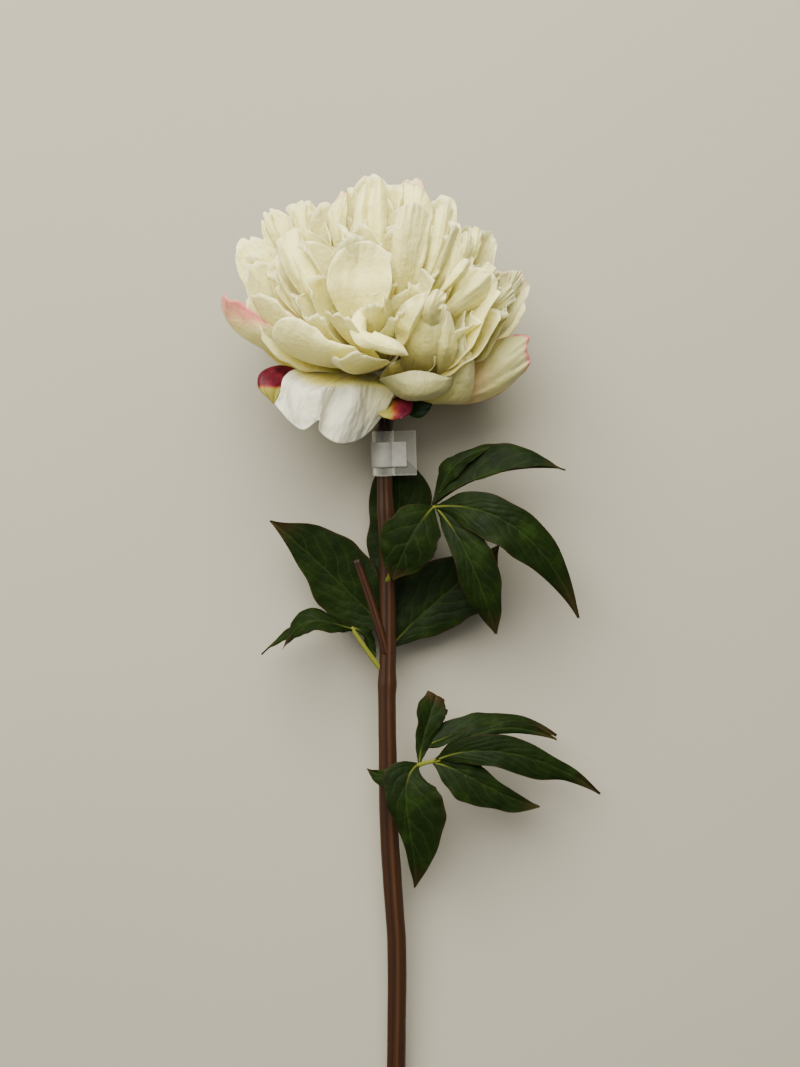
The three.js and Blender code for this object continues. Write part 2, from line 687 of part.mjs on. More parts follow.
function strip(section, long, curveSegments) {
  return new THREE.ExtrudeGeometry(section, { depth: long, bevelEnabled: false, curveSegments })
    .translate(0, 0, -long / 2)
    .rotateX(Math.PI / 2);
}

function tag() {
  const sleeve = mesh("tag_sleeve", strip(sleeveSection(), SLEEVE_LONG, 18), 0xdfe3dd, 0.15, {
    transparent: true,
    opacity: 0.3,
  });
  const label = mesh("tag_label", strip(labelSection(), LABEL_LONG, 10), 0xd8d6d2, 0.6);
  label.position.y = LABEL_Y;
  const held = new THREE.Group();
  held.add(sleeve, label);
  held.position.set(TAG_X, TAG_Y, TAG_Z);
  held.rotation.set(TAG_SLOPE, 0, TAG_TURN);
  return held;
}

const flower = new THREE.Group();
flower.add(stem(), calyx(), bloom(), tag());
for (const [name, { stalks, leaflets }] of Object.entries(SPRAYS)) flower.add(spray(name, stalks, leaflets));
flower.rotation.x = LAY_ANGLE;
flower.position.set(FOOTPRINT_X, FOOTPRINT_Y, LIFT);

const peony = new THREE.Group();
peony.add(flower);

export default peony;
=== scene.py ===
# An artificial peony, cut and lying on its side, seen from straight above.
# Forms are shaped in millimetres in the stem's own frame: +Y runs up the stem from its cut end, +X
# across it and +Z up. row() turns them into the row's frame in metres.
from math import asin, cos, pi, radians, sin
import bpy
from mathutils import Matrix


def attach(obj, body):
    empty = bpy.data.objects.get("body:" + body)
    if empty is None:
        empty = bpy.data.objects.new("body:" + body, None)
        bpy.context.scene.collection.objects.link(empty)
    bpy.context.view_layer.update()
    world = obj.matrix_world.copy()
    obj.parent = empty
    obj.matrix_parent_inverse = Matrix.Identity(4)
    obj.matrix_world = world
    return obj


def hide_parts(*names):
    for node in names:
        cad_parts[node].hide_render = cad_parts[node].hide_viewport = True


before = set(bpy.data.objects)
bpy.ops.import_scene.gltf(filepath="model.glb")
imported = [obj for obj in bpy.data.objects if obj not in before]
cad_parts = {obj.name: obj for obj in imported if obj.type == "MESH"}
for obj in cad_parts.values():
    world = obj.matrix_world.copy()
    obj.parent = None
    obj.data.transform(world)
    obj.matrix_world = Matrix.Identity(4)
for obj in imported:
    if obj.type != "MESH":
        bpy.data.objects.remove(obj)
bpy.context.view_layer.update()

from types import SimpleNamespace

import bpy
import numpy as np
from mathutils import Vector

draw = np.random.default_rng(11).uniform
MM = 0.001
TURN = 2 * pi
UPWARD = np.array([0, 0, 1.0])

# Where the flower lies: on its cut end and its back petals
LAY = radians(5)
STEM_R_CUT, STEM_R_NECK = 5.2, 4.1
LIFT = STEM_R_CUT * cos(LAY)
FOOT_X, FOOT_Y = -13.4, -293.5
UP = np.array([0, sin(LAY), cos(LAY)])
SOFT = 3.0  # depth over which a pressed sheet flattens
PRESSED_HALF = 0.4
PETAL_T, LEAF_T, SEPAL_T = 0.5, 0.55, 0.8

# The bloom: its middle, and the axis that nods up out of the stem's line
HEART = np.array([-4.2, 482.0, 12.5])
NOD = radians(38)
LEAN = radians(-2)
CORE_R, CORE_H, CORE_AT = 10.5, 15, 9
NECK_DROP = 11.35


def unit(v):
    return v / np.maximum(np.linalg.norm(v, axis=-1, keepdims=True), 1e-12)


AXIS = unit(np.array([sin(LEAN), cos(NOD) * cos(LEAN), sin(NOD)]))
RIGHT = unit(np.array([1.0, 0, 0]) - AXIS * AXIS[0])
FRONT = np.cross(RIGHT, AXIS)


def turned(a, b, angle):
    """The pair a, b turned by an angle in their plane."""
    c, s = cos(angle), sin(angle)
    return a * c - b * s, a * s + b * c


def row(p):
    x, y, z = np.moveaxis(np.asarray(p, float), -1, 0)
    y, z = turned(y, z, LAY)
    return np.stack([x + FOOT_X, y + FOOT_Y, z + LIFT], -1) * MM


def pressed(p):
    """What reaches the surface lies flat on it."""
    h = p @ UP + LIFT
    soft = PRESSED_HALF + SOFT
    new = PRESSED_HALF + SOFT * np.exp(np.minimum((h - soft) / SOFT, 0))
    return p + np.where(h < soft, new - h, 0)[..., None] * UP


def smooth(a, b, x):
    t = np.clip((x - a) / (b - a), 0, 1)
    return t * t * (3 - 2 * t)


def bell(x, at, width):
    return np.exp(-(((x - at) / width) ** 2))


# Curves
def bezier(a, b, c, d):
    def at(t):
        t = np.asarray(t, float)[..., None]
        pos = (1 - t) ** 3 * a + 3 * (1 - t) ** 2 * t * b + 3 * (1 - t) * t * t * c + t ** 3 * d
        tan = (1 - t) ** 2 * (b - a) + 2 * (1 - t) * t * (c - b) + t * t * (d - c)
        return pos, unit(tan)

    return at


def through(points):
    """The cubic curve that passes through four points, given as x, y, z in turn, at equal steps."""
    a, b, c, d = np.reshape(points, (4, 3)).astype(float)
    return bezier(a, (-5 * a + 18 * b - 9 * c + 2 * d) / 6, (2 * a - 9 * b + 18 * c - 5 * d) / 6, d)


def span(t, count):
    """Which of count equal steps from 0 to 1 holds t, and how far along that step it is."""
    at = np.clip(t, 0, 1) * count
    i = np.minimum(np.floor(at).astype(int), count - 1)
    return i, at - i


def hermite(w, p1, p2, m1, m2):
    """The cubic from p1 to p2 with slopes m1 and m2 at its ends."""
    return ((2 * w ** 3 - 3 * w * w + 1) * p1 + (w ** 3 - 2 * w * w + w) * m1
            + (3 * w * w - 2 * w ** 3) * p2 + (w ** 3 - w * w) * m2)


def between(w, p0, p1, p2, p3):
    return hermite(w, p1, p2, (p2 - p0) / 2, (p3 - p1) / 2)


def extended(p):
    """The points with one more at each end, in line with the last two."""
    return np.concatenate([2 * p[:1] - p[1:2], p, 2 * p[-1:] - p[-2:-1]])


def catmull(points):
    """The smooth curve through points, given as x, y, z in turn, at equal steps."""
    p = extended(np.reshape(points, (-1, 3)).astype(float))

    def pos(t):
        i, w = span(t, len(p) - 3)
        return between(w[..., None], p[i], p[i + 1], p[i + 2], p[i + 3])

    def at(t):
        t = np.asarray(t, float)
        step = 1e-4
        return pos(t), unit(pos(np.minimum(t + step, 1)) - pos(np.maximum(t - step, 0)))

    return at


def profile(values):
    """A smooth curve of half widths over equal steps from 0 to 1, never under the least one."""
    q = np.asarray(values, float)
    slope = np.gradient(q)
    slope[[0, -1]] /= 2
    least = 0.35

    def at(u):
        i, t = span(u, len(q) - 1)
        return np.maximum(hermite(t, q[i], q[i + 1], slope[i], slope[i + 1]), least)

    return at


# Mesh building
def grid_quads(i, across, flip=False):
    """Quads between the rows of a grid of point numbers; across holds each point's neighbour."""
    order = [i[:-1], across[:-1], across[1:], i[1:]]
    return np.stack(order[:1] + order[:0:-1] if flip else order, -1).reshape(-1, 4)


def cap(ring, flip):
    """Quads that close a ring of points."""
    n = len(ring)
    quads = [[ring[m], ring[m + 1], ring[n - 2 - m], ring[n - 1 - m]] for m in range(n // 2 - 1)]
    return np.array([q[::-1] if flip else q for q in quads])


class Piece:
    """Gathers closed shells, with a place on the surface (uv) and three numbers (look) at each point."""

    def __init__(self):
        self.verts, self.quads, self.uv, self.look = [], [], [], []
        self.count = 0

    def add(self, verts, quads, uv, look):
        look = np.stack(np.broadcast_arrays(*look, uv[..., 0])[:3], -1)
        self.verts.append(verts.reshape(-1, 3))
        self.quads.append(quads + self.count)
        self.uv.append(uv.reshape(-1, 2))
        self.look.append(look.reshape(-1, 3))
        self.count += len(self.verts[-1])

    def make(self, name, material, node):
        quads, look = np.vstack(self.quads), np.vstack(self.look)
        mesh = bpy.data.meshes.new(name)
        mesh.from_pydata(row(np.vstack(self.verts)), [], quads, shade_flat=False)
        layer = mesh.uv_layers.new(name="uv")
        layer.data.foreach_set("uv", np.vstack(self.uv)[quads.ravel()].ravel())
        colours = mesh.attributes.new("look", "FLOAT_COLOR", "POINT")
        colours.data.foreach_set("color", np.hstack([look, np.ones((len(look), 1))]).ravel())
        mesh.validate()
        mesh.materials.append(material)
        made = bpy.data.objects.new(name, mesh)
        bpy.context.scene.collection.objects.link(made)
        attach(made, "root")
        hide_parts(node)


def sheet(piece, surface, nu, nv, thick, look, rim=0.35):
    """Adds a thin closed solid on both sides of surface(u, v), thinner along its edge."""
    u, v = np.meshgrid(np.linspace(0, 1, nu + 1), np.linspace(-1, 1, nv + 1), indexing="ij")
    p = surface(u, v)
    n = unit(np.cross(np.gradient(p, axis=0), np.gradient(p, axis=1)))
    t = thick / 2 * (rim + (1 - rim) * (1 - np.abs(v) ** 8) * (1 - u ** 12))[..., None]
    a = np.arange(u.size).reshape(u.shape)
    b = a + a.size
    edge = np.concatenate([a[0, :-1], a[:-1, -1], a[-1, :0:-1], a[:0:-1, 0], a[0, :1]])
    ring = np.stack([edge[:-1], edge[:-1] + a.size, edge[1:] + a.size, edge[1:]], -1)
    piece.add(np.stack([p - n * t, p + n * t]),
              np.vstack([grid_quads(a[:, :-1], a[:, 1:]), grid_quads(b[:, :-1], b[:, 1:], True), ring]),
              np.stack([np.stack([u, (v + 1) / 2], -1)] * 2), look(u, v))


def tube(piece, curve, steps, sides, radius, look, turn=None):
    """Adds a closed tube along a curve. radius(t, angle) is its radius round the section."""
    t = np.linspace(0, 1, steps + 1)
    pos, along = curve(t)
    side = unit(np.cross(along, UPWARD))
    top = np.cross(side, along)
    T, A = np.meshgrid(t, np.linspace(0, TURN, sides, endpoint=False), indexing="ij")
    r = radius(T, A)
    shift = turn(T) if turn else 0
    x, y = -np.cos(A + shift) * r, np.sin(A + shift) * r
    verts = pos[:, None] + side[:, None] * x[..., None] + top[:, None] * y[..., None]
    i = np.arange(verts.shape[0] * sides).reshape(-1, sides)
    quads = [grid_quads(i, np.roll(i, -1, axis=1), True)]
    rings, uv = [verts], [np.stack([T, A / TURN], -1)]
    start = i.size
    for k, flip in ((0, False), (steps, True)):
        ring = i[k]
        for shrink, push in ((0.82, 0.12), (0.4, 0.2)):
            away = along[k] * (push if flip else -push) * r.mean() * 0.5
            rings.append((pos[k] + (verts[k] - pos[k]) * shrink + away)[None])
            uv.append(uv[0][k:k + 1])
            fresh = np.arange(start, start + sides)
            start += sides
            pair = np.stack([ring, fresh])
            quads.append(grid_quads(pair, np.roll(pair, -1, axis=1), flip))
            ring = fresh
        quads.append(cap(ring, flip))
    uv = np.concatenate(uv)
    piece.add(np.concatenate(rings), np.vstack(quads), uv, look(uv[..., 0], uv[..., 1] * TURN))


def round_form(piece, outline, sides, look):
    """Adds a closed form turned round the bloom's axis, through rings of (radius, height)."""
    a = np.linspace(0, TURN, sides, endpoint=False)[:, None]
    around = RIGHT * np.cos(a) + unit(np.cross(AXIS, RIGHT)) * np.sin(a)
    out, high = np.asarray(outline, float).T[..., None, None]
    p = HEART + AXIS * high + around * out
    i = np.arange(len(p) * sides).reshape(-1, sides)
    quads = [grid_quads(i, np.roll(i, -1, axis=1)), cap(i[0], True), cap(i[-1], False)]
    piece.add(p, np.vstack(quads), np.zeros((*p.shape[:2], 2)), look)


# Materials
class Nodes:
    """Short names for building a node material."""

    def __init__(self, name):
        self.material = bpy.data.materials.new(name)
        self.material.use_nodes = True
        self.tree = self.material.node_tree
        self.tree.nodes.clear()
        self.out = self.tree.nodes.new("ShaderNodeOutputMaterial")

    def add(self, kind, inputs=None, **settings):
        node = self.tree.nodes.new("ShaderNode" + kind)
        for key, value in settings.items():
            setattr(node, key, value)
        for key, value in (inputs or {}).items():
            self.put(node.inputs[key], value)
        return node

    def put(self, socket, value):
        if isinstance(value, bpy.types.NodeSocket):
            self.tree.links.new(value, socket)
        elif socket.type == "RGBA" and len(value) == 3:
            socket.default_value = (*value, 1)
        else:
            socket.default_value = value

    def math(self, operation, a, b=0.0):
        return self.add("Math", {0: a, 1: b}, operation=operation).outputs[0]

    def times(self, a, b):
        return self.math("MULTIPLY", a, b)

    def mix(self, factor, a, b, blend="MIX"):
        node = self.add("Mix", {"Factor": factor}, data_type="RGBA", blend_type=blend)
        for name, value in (("A", a), ("B", b)):
            self.put([s for s in node.inputs if s.name == name and s.type == "RGBA"][0], value)
        return [s for s in node.outputs if s.type == "RGBA"][0]

    def over(self, base, *coats):
        """Coats of (share, colour) laid one by one over a base colour."""
        for share, colour in coats:
            base = self.mix(share, base, colour)
        return base

    def ramp(self, factor, stops):
        node = self.add("ValToRGB", {"Fac": factor})
        band = node.color_ramp.elements
        while len(band) < len(stops):
            band.new(0.5)
        for element, (at, colour) in zip(band, stops):
            element.position = at
            element.color = (*colour, 1)
        return node.outputs["Color"]

    def scale(self, factor, low, high, to_low=0.0, to_high=1.0):
        return self.add("MapRange", {"Value": factor, "From Min": low, "From Max": high,
                                     "To Min": to_low, "To Max": to_high}).outputs["Result"]

    def look(self):
        marks = self.add("Attribute", attribute_name="look").outputs["Color"]
        split = self.add("SeparateColor", {"Color": marks})
        return split.outputs["Red"], split.outputs["Green"], split.outputs["Blue"]

    def uv(self):
        split = self.add("SeparateXYZ", {"Vector": self.add("UVMap", uv_map="uv").outputs["UV"]})
        return split.outputs["X"], split.outputs["Y"]

    def spread(self, uv, along, across, third=0.0):
        """A place on the surface, counted along and across times over it."""
        return self.add("CombineXYZ", {"X": self.times(uv[0], along), "Y": self.times(uv[1], across),
                                       "Z": third}).outputs[0]

    def noise(self, size, detail=3.0, rough=0.5, vector=None, stretch=None):
        """size is the width of its patches in metres, or in the vector's own unit."""
        vector = vector or self.add("TexCoord").outputs["Object"]
        if stretch:
            vector = self.add("Mapping", {"Vector": vector, "Scale": stretch}).outputs["Vector"]
        return self.add("TexNoise", {"Vector": vector, "Scale": 1 / size, "Detail": detail,
                                     "Roughness": rough}).outputs["Fac"]

    def bumps(self, *layers):
        """A normal from layers of (height, distance in metres, strength), one on the other."""
        normal = None
        for height, distance, strength in layers:
            under = {"Normal": normal} if normal else {}
            normal = self.add("Bump", {"Height": height, "Distance": distance, "Strength": strength,
                                       **under}).outputs["Normal"]
        return normal

    def body(self, colour, rough, specular, normal=None, **more):
        inputs = {"Base Color": colour, "Roughness": rough, "Specular IOR Level": specular}
        if normal:
            inputs["Normal"] = normal
        return self.add("BsdfPrincipled", {**inputs, **more})

    def blend(self, share, a, b):
        return self.add("MixShader", {0: share, 1: a.outputs[0], 2: b.outputs[0]})

    def surface(self, shader):
        self.tree.links.new(shader.outputs[0], self.out.inputs["Surface"])
        return self.material


def petal_material(name, silky):
    """Woven cloth petals: cream, yellow-green and darker towards the heart, pink on some edges. The
    darkening towards the heart is painted shade in the bloom's depths, and the whiter tips and rims are
    painted light
    on the thin edges. look: red is the pink, green the depth, blue each petal's own tone, whose set values
    paint shade on some petals and light on others. The silky one is whiter and shines in its folds."""
    m = Nodes(name)
    pink, depth, own = m.look()
    uv = u, v = m.uv()
    outer = (0.91, 0.88, 0.69) if silky else (0.95, 0.915, 0.39)
    # Darker and more olive deeper in the bloom: partly the petals' own yellow-green base, partly painted
    # shade in the depths.
    cream = m.ramp(depth, [(0.0, outer), (0.30, (0.90, 0.85, 0.28)), (0.62, (0.80, 0.71, 0.17)),
                           (1.0, (0.42, 0.35, 0.03))])
    # Each petal's own tone as a multiplier: random on most petals. The values set on some petals paint
    # shade on those in shadow and light on those turned from the lamp.
    shade = m.scale(own, -2, 1, 0.38, 1.05)
    shade = m.add("CombineColor", {"Red": shade, "Green": shade, "Blue": shade}).outputs[0]
    cream = m.mix(1.0, cream, shade, "MULTIPLY")
    blotch = m.scale(m.noise(0.016, 2.0), 0.35, 0.7, 0.0, 0.1 if silky else 0.35)
    streak = m.noise(1.0, 4.0, 0.6, m.spread(uv, 2.0, 26.0, m.times(own, 9.0)))
    from_middle = m.math("ABSOLUTE", m.math("SUBTRACT", v, 0.5))
    # Whiter towards the tip and along the rim (the third and fourth coats below): painted light on the thin
    # edges.
    rim = m.math("MAXIMUM", m.scale(u, 0.955, 1.0), m.scale(from_middle, 0.47, 0.5))
    stain = m.times(pink, m.scale(streak, 0.25, 0.75, 0.75, 1.15))
    colour = m.over(cream, (blotch, (0.87, 0.82, 0.40)),
                    (m.scale(streak, 0.42, 0.78, 0.0, 0.06 if silky else 0.15), (0.68, 0.64, 0.28)),
                    (m.scale(u, 0.65, 1.0, 0.0, 0.15), (0.98, 0.965, 0.80)),
                    (m.times(rim, 0.3), (0.98, 0.97, 0.80)),
                    (m.math("MINIMUM", stain, 1.0), (0.72, 0.13, 0.17)))
    weave = m.noise(0.0004, 2.0, 0.6)
    veins = m.add("TexWave", {"Vector": m.spread(uv, 0.6, 7.0, own), "Scale": 1.0, "Distortion": 6.0,
                              "Detail": 3.0, "Detail Scale": 1.6}, bands_direction="Y").outputs["Fac"]
    if silky:
        folds = [(m.noise(1.0, 3.0, 0.5, m.spread(uv, 1.6, 5.5)), 0.014, 0.6)]
    else:
        pleat = m.noise(1.0, 4.0, 0.55, m.spread(uv, 1.8, 5.0, m.times(own, 7.0)))
        folds = [(m.noise(0.007, 3.0, 0.55), 0.0024, 0.6), (pleat, 0.0026, 0.5)]
    normal = m.bumps((weave, 0.00006, 0.5), (veins, 0.00010, 0.4), *folds)
    body = m.body(colour, 0.36 if silky else 0.5, 0.55 if silky else 0.3, normal,
                  **{"Sheen Weight": 0.25, "Sheen Roughness": 0.4})
    glow = m.add("BsdfTranslucent", {"Color": m.mix(0.4, colour, (0.95, 0.88, 0.26)), "Normal": normal})
    return m.surface(m.blend(0.15 if silky else 0.38, body, glow))


def leaf_material():
    """Coated cloth leaves: dark green with paler ribs and veins, brown-red near some tips. look: red
    is the vein, green the tip's brown, blue the stalk's yellow-green."""
    m = Nodes("leaf_coated")
    vein, brown, stalk = m.look()
    green = m.ramp(m.noise(0.012), [(0.3, (0.004, 0.008, 0.002)), (0.55, (0.006, 0.012, 0.002)),
                                         (0.75, (0.010, 0.022, 0.003))])
    fine = m.noise(0.0008, 3.0, 0.6)
    colour = m.over(green, (m.times(brown, 0.5), (0.045, 0.018, 0.010)),
                    (m.scale(fine, 0.4, 0.8, 0.0, 0.2), (0.012, 0.022, 0.006)),
                    (m.times(vein, 0.32), (0.05, 0.085, 0.018)), (stalk, (0.11, 0.12, 0.016)))
    normal = m.bumps((fine, 0.00012, 0.5), (m.noise(0.005), 0.0014, 0.5))
    body = m.body(colour, m.scale(m.noise(0.010), 0.3, 0.7, 0.44, 0.62), 0.04, normal)
    glow = m.add("BsdfTranslucent", {"Color": m.mix(0.5, colour, (0.05, 0.16, 0.01)), "Normal": normal})
    return m.surface(m.blend(0.06, body, glow))


def sepal_material():
    """Sepals: dark red, yellow-green in parts. look: red is yellow-green, green is dark green."""
    m = Nodes("sepal_coated")
    yellow, green, _ = m.look()
    red = m.ramp(m.noise(0.006), [(0.3, (0.06, 0.003, 0.012)), (0.55, (0.14, 0.010, 0.024)),
                                       (0.8, (0.24, 0.035, 0.05))])
    mottled = m.math("ADD", yellow, m.scale(m.noise(0.004, 2.0), 0.3, 0.7, -0.12, 0.12))
    colour = m.over(red, (m.scale(mottled, 0.25, 0.6), (0.30, 0.07, 0.018)),
                    (m.scale(mottled, 0.5, 0.85), (0.30, 0.27, 0.05)), (green, (0.010, 0.026, 0.006)))
    return m.surface(m.body(colour, 0.5, 0.2, m.bumps((m.noise(0.0009), 0.0002, 0.5))))


def stem_material():
    """Moulded brown plastic, streaked along its length, with painted shade in the groove and under the
    bloom and a painted highlight beside the groove. look: red is the groove's painted shade, green the
    painted shade under the bloom, blue the painted highlight line beside the groove."""
    m = Nodes("stem_moulded")
    groove, shade_under_bloom, line = m.look()
    streak = m.noise(1.0, 5.0, 0.6, m.spread(m.uv(), 14.0, 22.0, 0.3))
    brown = m.ramp(streak, [(0.3, (0.026, 0.009, 0.003)), (0.5, (0.022, 0.008, 0.002)),
                            (0.72, (0.035, 0.013, 0.004))])
    # After the patches: a painted highlight line beside the groove, painted shade in the groove and painted
    # shade under the bloom.
    colour = m.over(brown, (m.scale(m.noise(0.02, 2.0), 0.35, 0.7, 0.0, 0.5), (0.028, 0.010, 0.003)),
                    (m.times(line, 0.3), (0.08, 0.032, 0.013)),
                    (m.times(groove, 0.75), (0.012, 0.005, 0.003)),
                    (m.times(shade_under_bloom, 0.75), (0.012, 0.007, 0.005)))
    normal = m.bumps((streak, 0.0003, 0.5), (m.noise(0.0011), 0.00014, 0.5))
    return m.surface(m.body(colour, 0.5, 0.2, normal))


def film_material():
    """Clear film, milky where it turns away."""
    m = Nodes("tag_film")
    normal = m.bumps((m.noise(0.006, 2.0, 0.4, stretch=(1.0, 0.35, 1.0)), 0.0006, 0.5))
    facing = m.add("LayerWeight", {"Blend": 0.35}).outputs["Facing"]
    clear = m.add("BsdfTransparent", {"Color": (0.95, 0.955, 0.94)})
    film = m.body((0.76, 0.76, 0.66), 0.16, 0.6, normal)
    return m.surface(m.blend(m.scale(facing, 0.0, 1.0, 0.07, 0.7), clear, film))


def label_material():
    m = Nodes("tag_paper_painted_shade")
    # The sticker is white paper painted dark grey: painted shade of the bloom over it, with a faint mottle.
    tone = m.ramp(m.noise(0.005), [(0.3, (0.20, 0.192, 0.165)), (0.7, (0.26, 0.25, 0.215))])
    return m.surface(m.body(tone, 0.55, 0.5, m.bumps((m.noise(0.0007, 4.0, 0.6), 0.00006, 0.4))))


# Petals
# pale and shade set a petal's own tone. Their set values also paint shade on petals that lie in shadow and
# light on petals turned from the lamp. deep paints shade on the root part of a petal that others overhang.
PETAL = dict(side=0, leave=60, arrive=10, width=48, cup=35, roll=0, twist=0, wide=0.7, narrow=0.28,
             round=1, lift=0, wave=2, waves=4, phase=0, claw=0.22, frill=1.1, seed=0, fold=1.7,
             curl=0, pink=0, pink_from=0.8, pink_side=0, long=28, across=24, pale=0, shade=None,
             deep=0, blush=0)


ROOT_AT, ROOT_R, ROOT_OUT = 3, 14, 5  # where the ribs leave the heart
DEPTH_FROM, DEPTH_TO = 14, 88  # how far from the heart the yellow-green and the painted shade of the depths fade out


def numbers(**given):
    return SimpleNamespace(**{**PETAL, **given})


def petal(az, out, reach, leave, arrive, width, cup, roll=0, **more):
    """Numbers of a petal: the way round the axis that it leans, how far out from the axis its tip is, in
    degrees, and how far from the heart, its lean at root and tip, its width, its cupping and its roll."""
    return dict(az=az, out=out, reach=reach, leave=leave, arrive=arrive, width=width, cup=cup,
                roll=roll, **more)


def drawn(pale, shade, fold, frill, lines, **more):
    """Numbers of a petal drawn by lines of x, y, z from its root to its rim, side by side."""
    return dict(pale=pale, shade=shade, fold=fold, frill=frill, lines=lines, **more)


def petal_surface(P):
    """A petal on a rib that leaves the heart, from the numbers of petal()."""
    own = np.random.default_rng(P.seed + 17).uniform
    waves = [(own(*pair), own(0, 6.3)) for pair in ((5, 8), (11, 16), (16, 21))]
    folds = [(own(2.5, 4.5), own(0, 6.3), own(0.5, 1)),
             (own(6, 9), own(0, 6.3), own(0.2, 0.4))]
    nicks = [(own(-0.8, 0.8), own(0.06, 0.14), own(0.0, 0.035)) for _ in range(3)]
    around = radians(P.az)
    radial = FRONT * cos(around) + RIGHT * sin(around)
    across = np.cross(AXIS, radial)

    def toward(a):
        return radial * sin(radians(a)) + AXIS * cos(radians(a))

    leave = radians(P.leave)
    root = HEART + AXIS * (ROOT_AT + P.lift + ROOT_R * cos(leave)) + radial * (ROOT_OUT * sin(leave))
    tip = HEART + toward(P.out) * P.reach + across * P.side
    length = np.linalg.norm(tip - root)
    rib = bezier(root, root + toward(P.leave) * length * 0.42,
                 tip - toward(P.arrive) * length * 0.36, tip)
    end = P.round * P.width / 2 * (1 - P.narrow) / length

    def at(u, v):
        rim = np.abs(v)
        dent = sum(deep * bell(v, place, size) for place, size, deep in nicks)
        s = u * (1 - end * rim ** 2.2 - dent * u ** 3)
        pt, along = rib(s)
        inward = unit(np.cross(along, across))
        turn = np.radians(P.roll + P.twist * (s - 0.5))[..., None]
        x = across * np.cos(turn) + inward * np.sin(turn)
        y = inward * np.cos(turn) - across * np.sin(turn)
        grown = np.sin(np.pi / 2 * np.minimum(1, u / P.wide)) ** 1.3
        past = np.maximum(0, (u - P.wide) / (1 - P.wide))
        half = P.width / 2 * (P.claw + (1 - P.claw) * grown) * (1 - P.narrow * past * past)
        bend = radians(P.cup) * (0.4 + 0.6 * s) + 1e-4
        margin = 1 - (1 - rim ** 2.5) * (1 - u ** 4)
        angle = np.arctan2(0.8 * v, u - 0.3)
        ripple = P.wave * margin * np.sin(P.waves * angle + P.phase)
        edge = margin ** 2
        small = sum(np.sin(k * angle + p) / (1 + 0.6 * i) for i, (k, p) in enumerate(waves))
        ripple = ripple + P.frill * edge * small * 0.6
        half = half * (1 + 0.02 * P.frill * edge * np.sin(waves[1][0] * 1.7 * u + waves[1][1]))
        soft = sum(w * np.sin(k * v + p + 1.2 * u) for k, p, w in folds)
        ripple = ripple + P.fold * soft * np.sin(np.pi * np.minimum(u, 0.92)) * 0.8
        back = P.curl * smooth(0.72, 1.0, u) ** 2
        pt = pt + x * (half * np.sin(bend * v) / bend)[..., None]
        pt = pt + y * (half * (1 - np.cos(bend * v)) / bend + ripple * u - back)[..., None]
        return pressed(pt)

    return at


def drawn_surface(P):
    """A petal through the lines of drawn()."""
    a, b, c = np.random.default_rng(P.seed + 17).uniform(0, 6.3, 3)
    ribs = [catmull(line) for line in P.lines]

    def at(u, v):
        p = extended(np.stack([rib(u)[0] for rib in ribs]))
        i, w = span((v + 1) / 2, len(ribs) - 1)
        near = [np.take_along_axis(p, (i + k)[None, ..., None], 0)[0] for k in range(4)]
        edge = (1 - (1 - np.abs(v) ** 2.5) * (1 - u ** 4)) ** 2
        ripple = P.fold * u * (np.sin(7 * v + 1.5 * u + a) + 0.6 * np.sin(12 * v - 2 * u + b))
        ripple = ripple + P.frill * edge * np.sin(17 * np.arctan2(0.8 * v, u - 0.3) + c)
        return between(w[..., None], *near) + UPWARD * ripple[..., None]

    return at


def petal_look(P, surface):
    """Its pink, its depth in the bloom, which brings painted shade in the depths, and its own tone, whose
    set values paint shade on some petals and light on others.
    """
    drawn = np.random.default_rng(P.seed + 5).uniform(0, 1)
    shade = drawn if P.shade is None else P.shade

    def look(u, v):
        far = np.linalg.norm(surface(u, v) - HEART, axis=-1)
        # Deeper in the bloom and towards its base a petal turns yellow-green and darker: its own colour
        # with painted shade of the depths. deep paints more shade on a root part that other petals
        # overhang.
        depth = np.clip(1 - smooth(DEPTH_FROM, DEPTH_TO, far) - 0.25 * P.pale, 0, 1)
        depth = np.clip(depth + 0.4 * (0.5 - u), 0, 1)
        depth = np.maximum(depth, P.deep * smooth(0.5, 0.3, u))
        side = 1.0 if P.pink_side == 0 else smooth(-0.3, 0.7, v * P.pink_side)
        edge = smooth(P.pink_from, 1.0, np.abs(v)) * smooth(0.3, 0.7, u)
        edge = np.maximum(smooth(P.pink_from, 1.0, u), edge)
        return P.pink * edge * side + P.blush * bell(u, 0.42, 0.16), depth, shade

    return look


def add_petal(piece, petal, seed):
    P = numbers(**petal, seed=seed)
    surface = (drawn_surface if "lines" in petal else petal_surface)(P)
    sheet(piece, surface, P.long, P.across, PETAL_T, petal_look(P, surface))
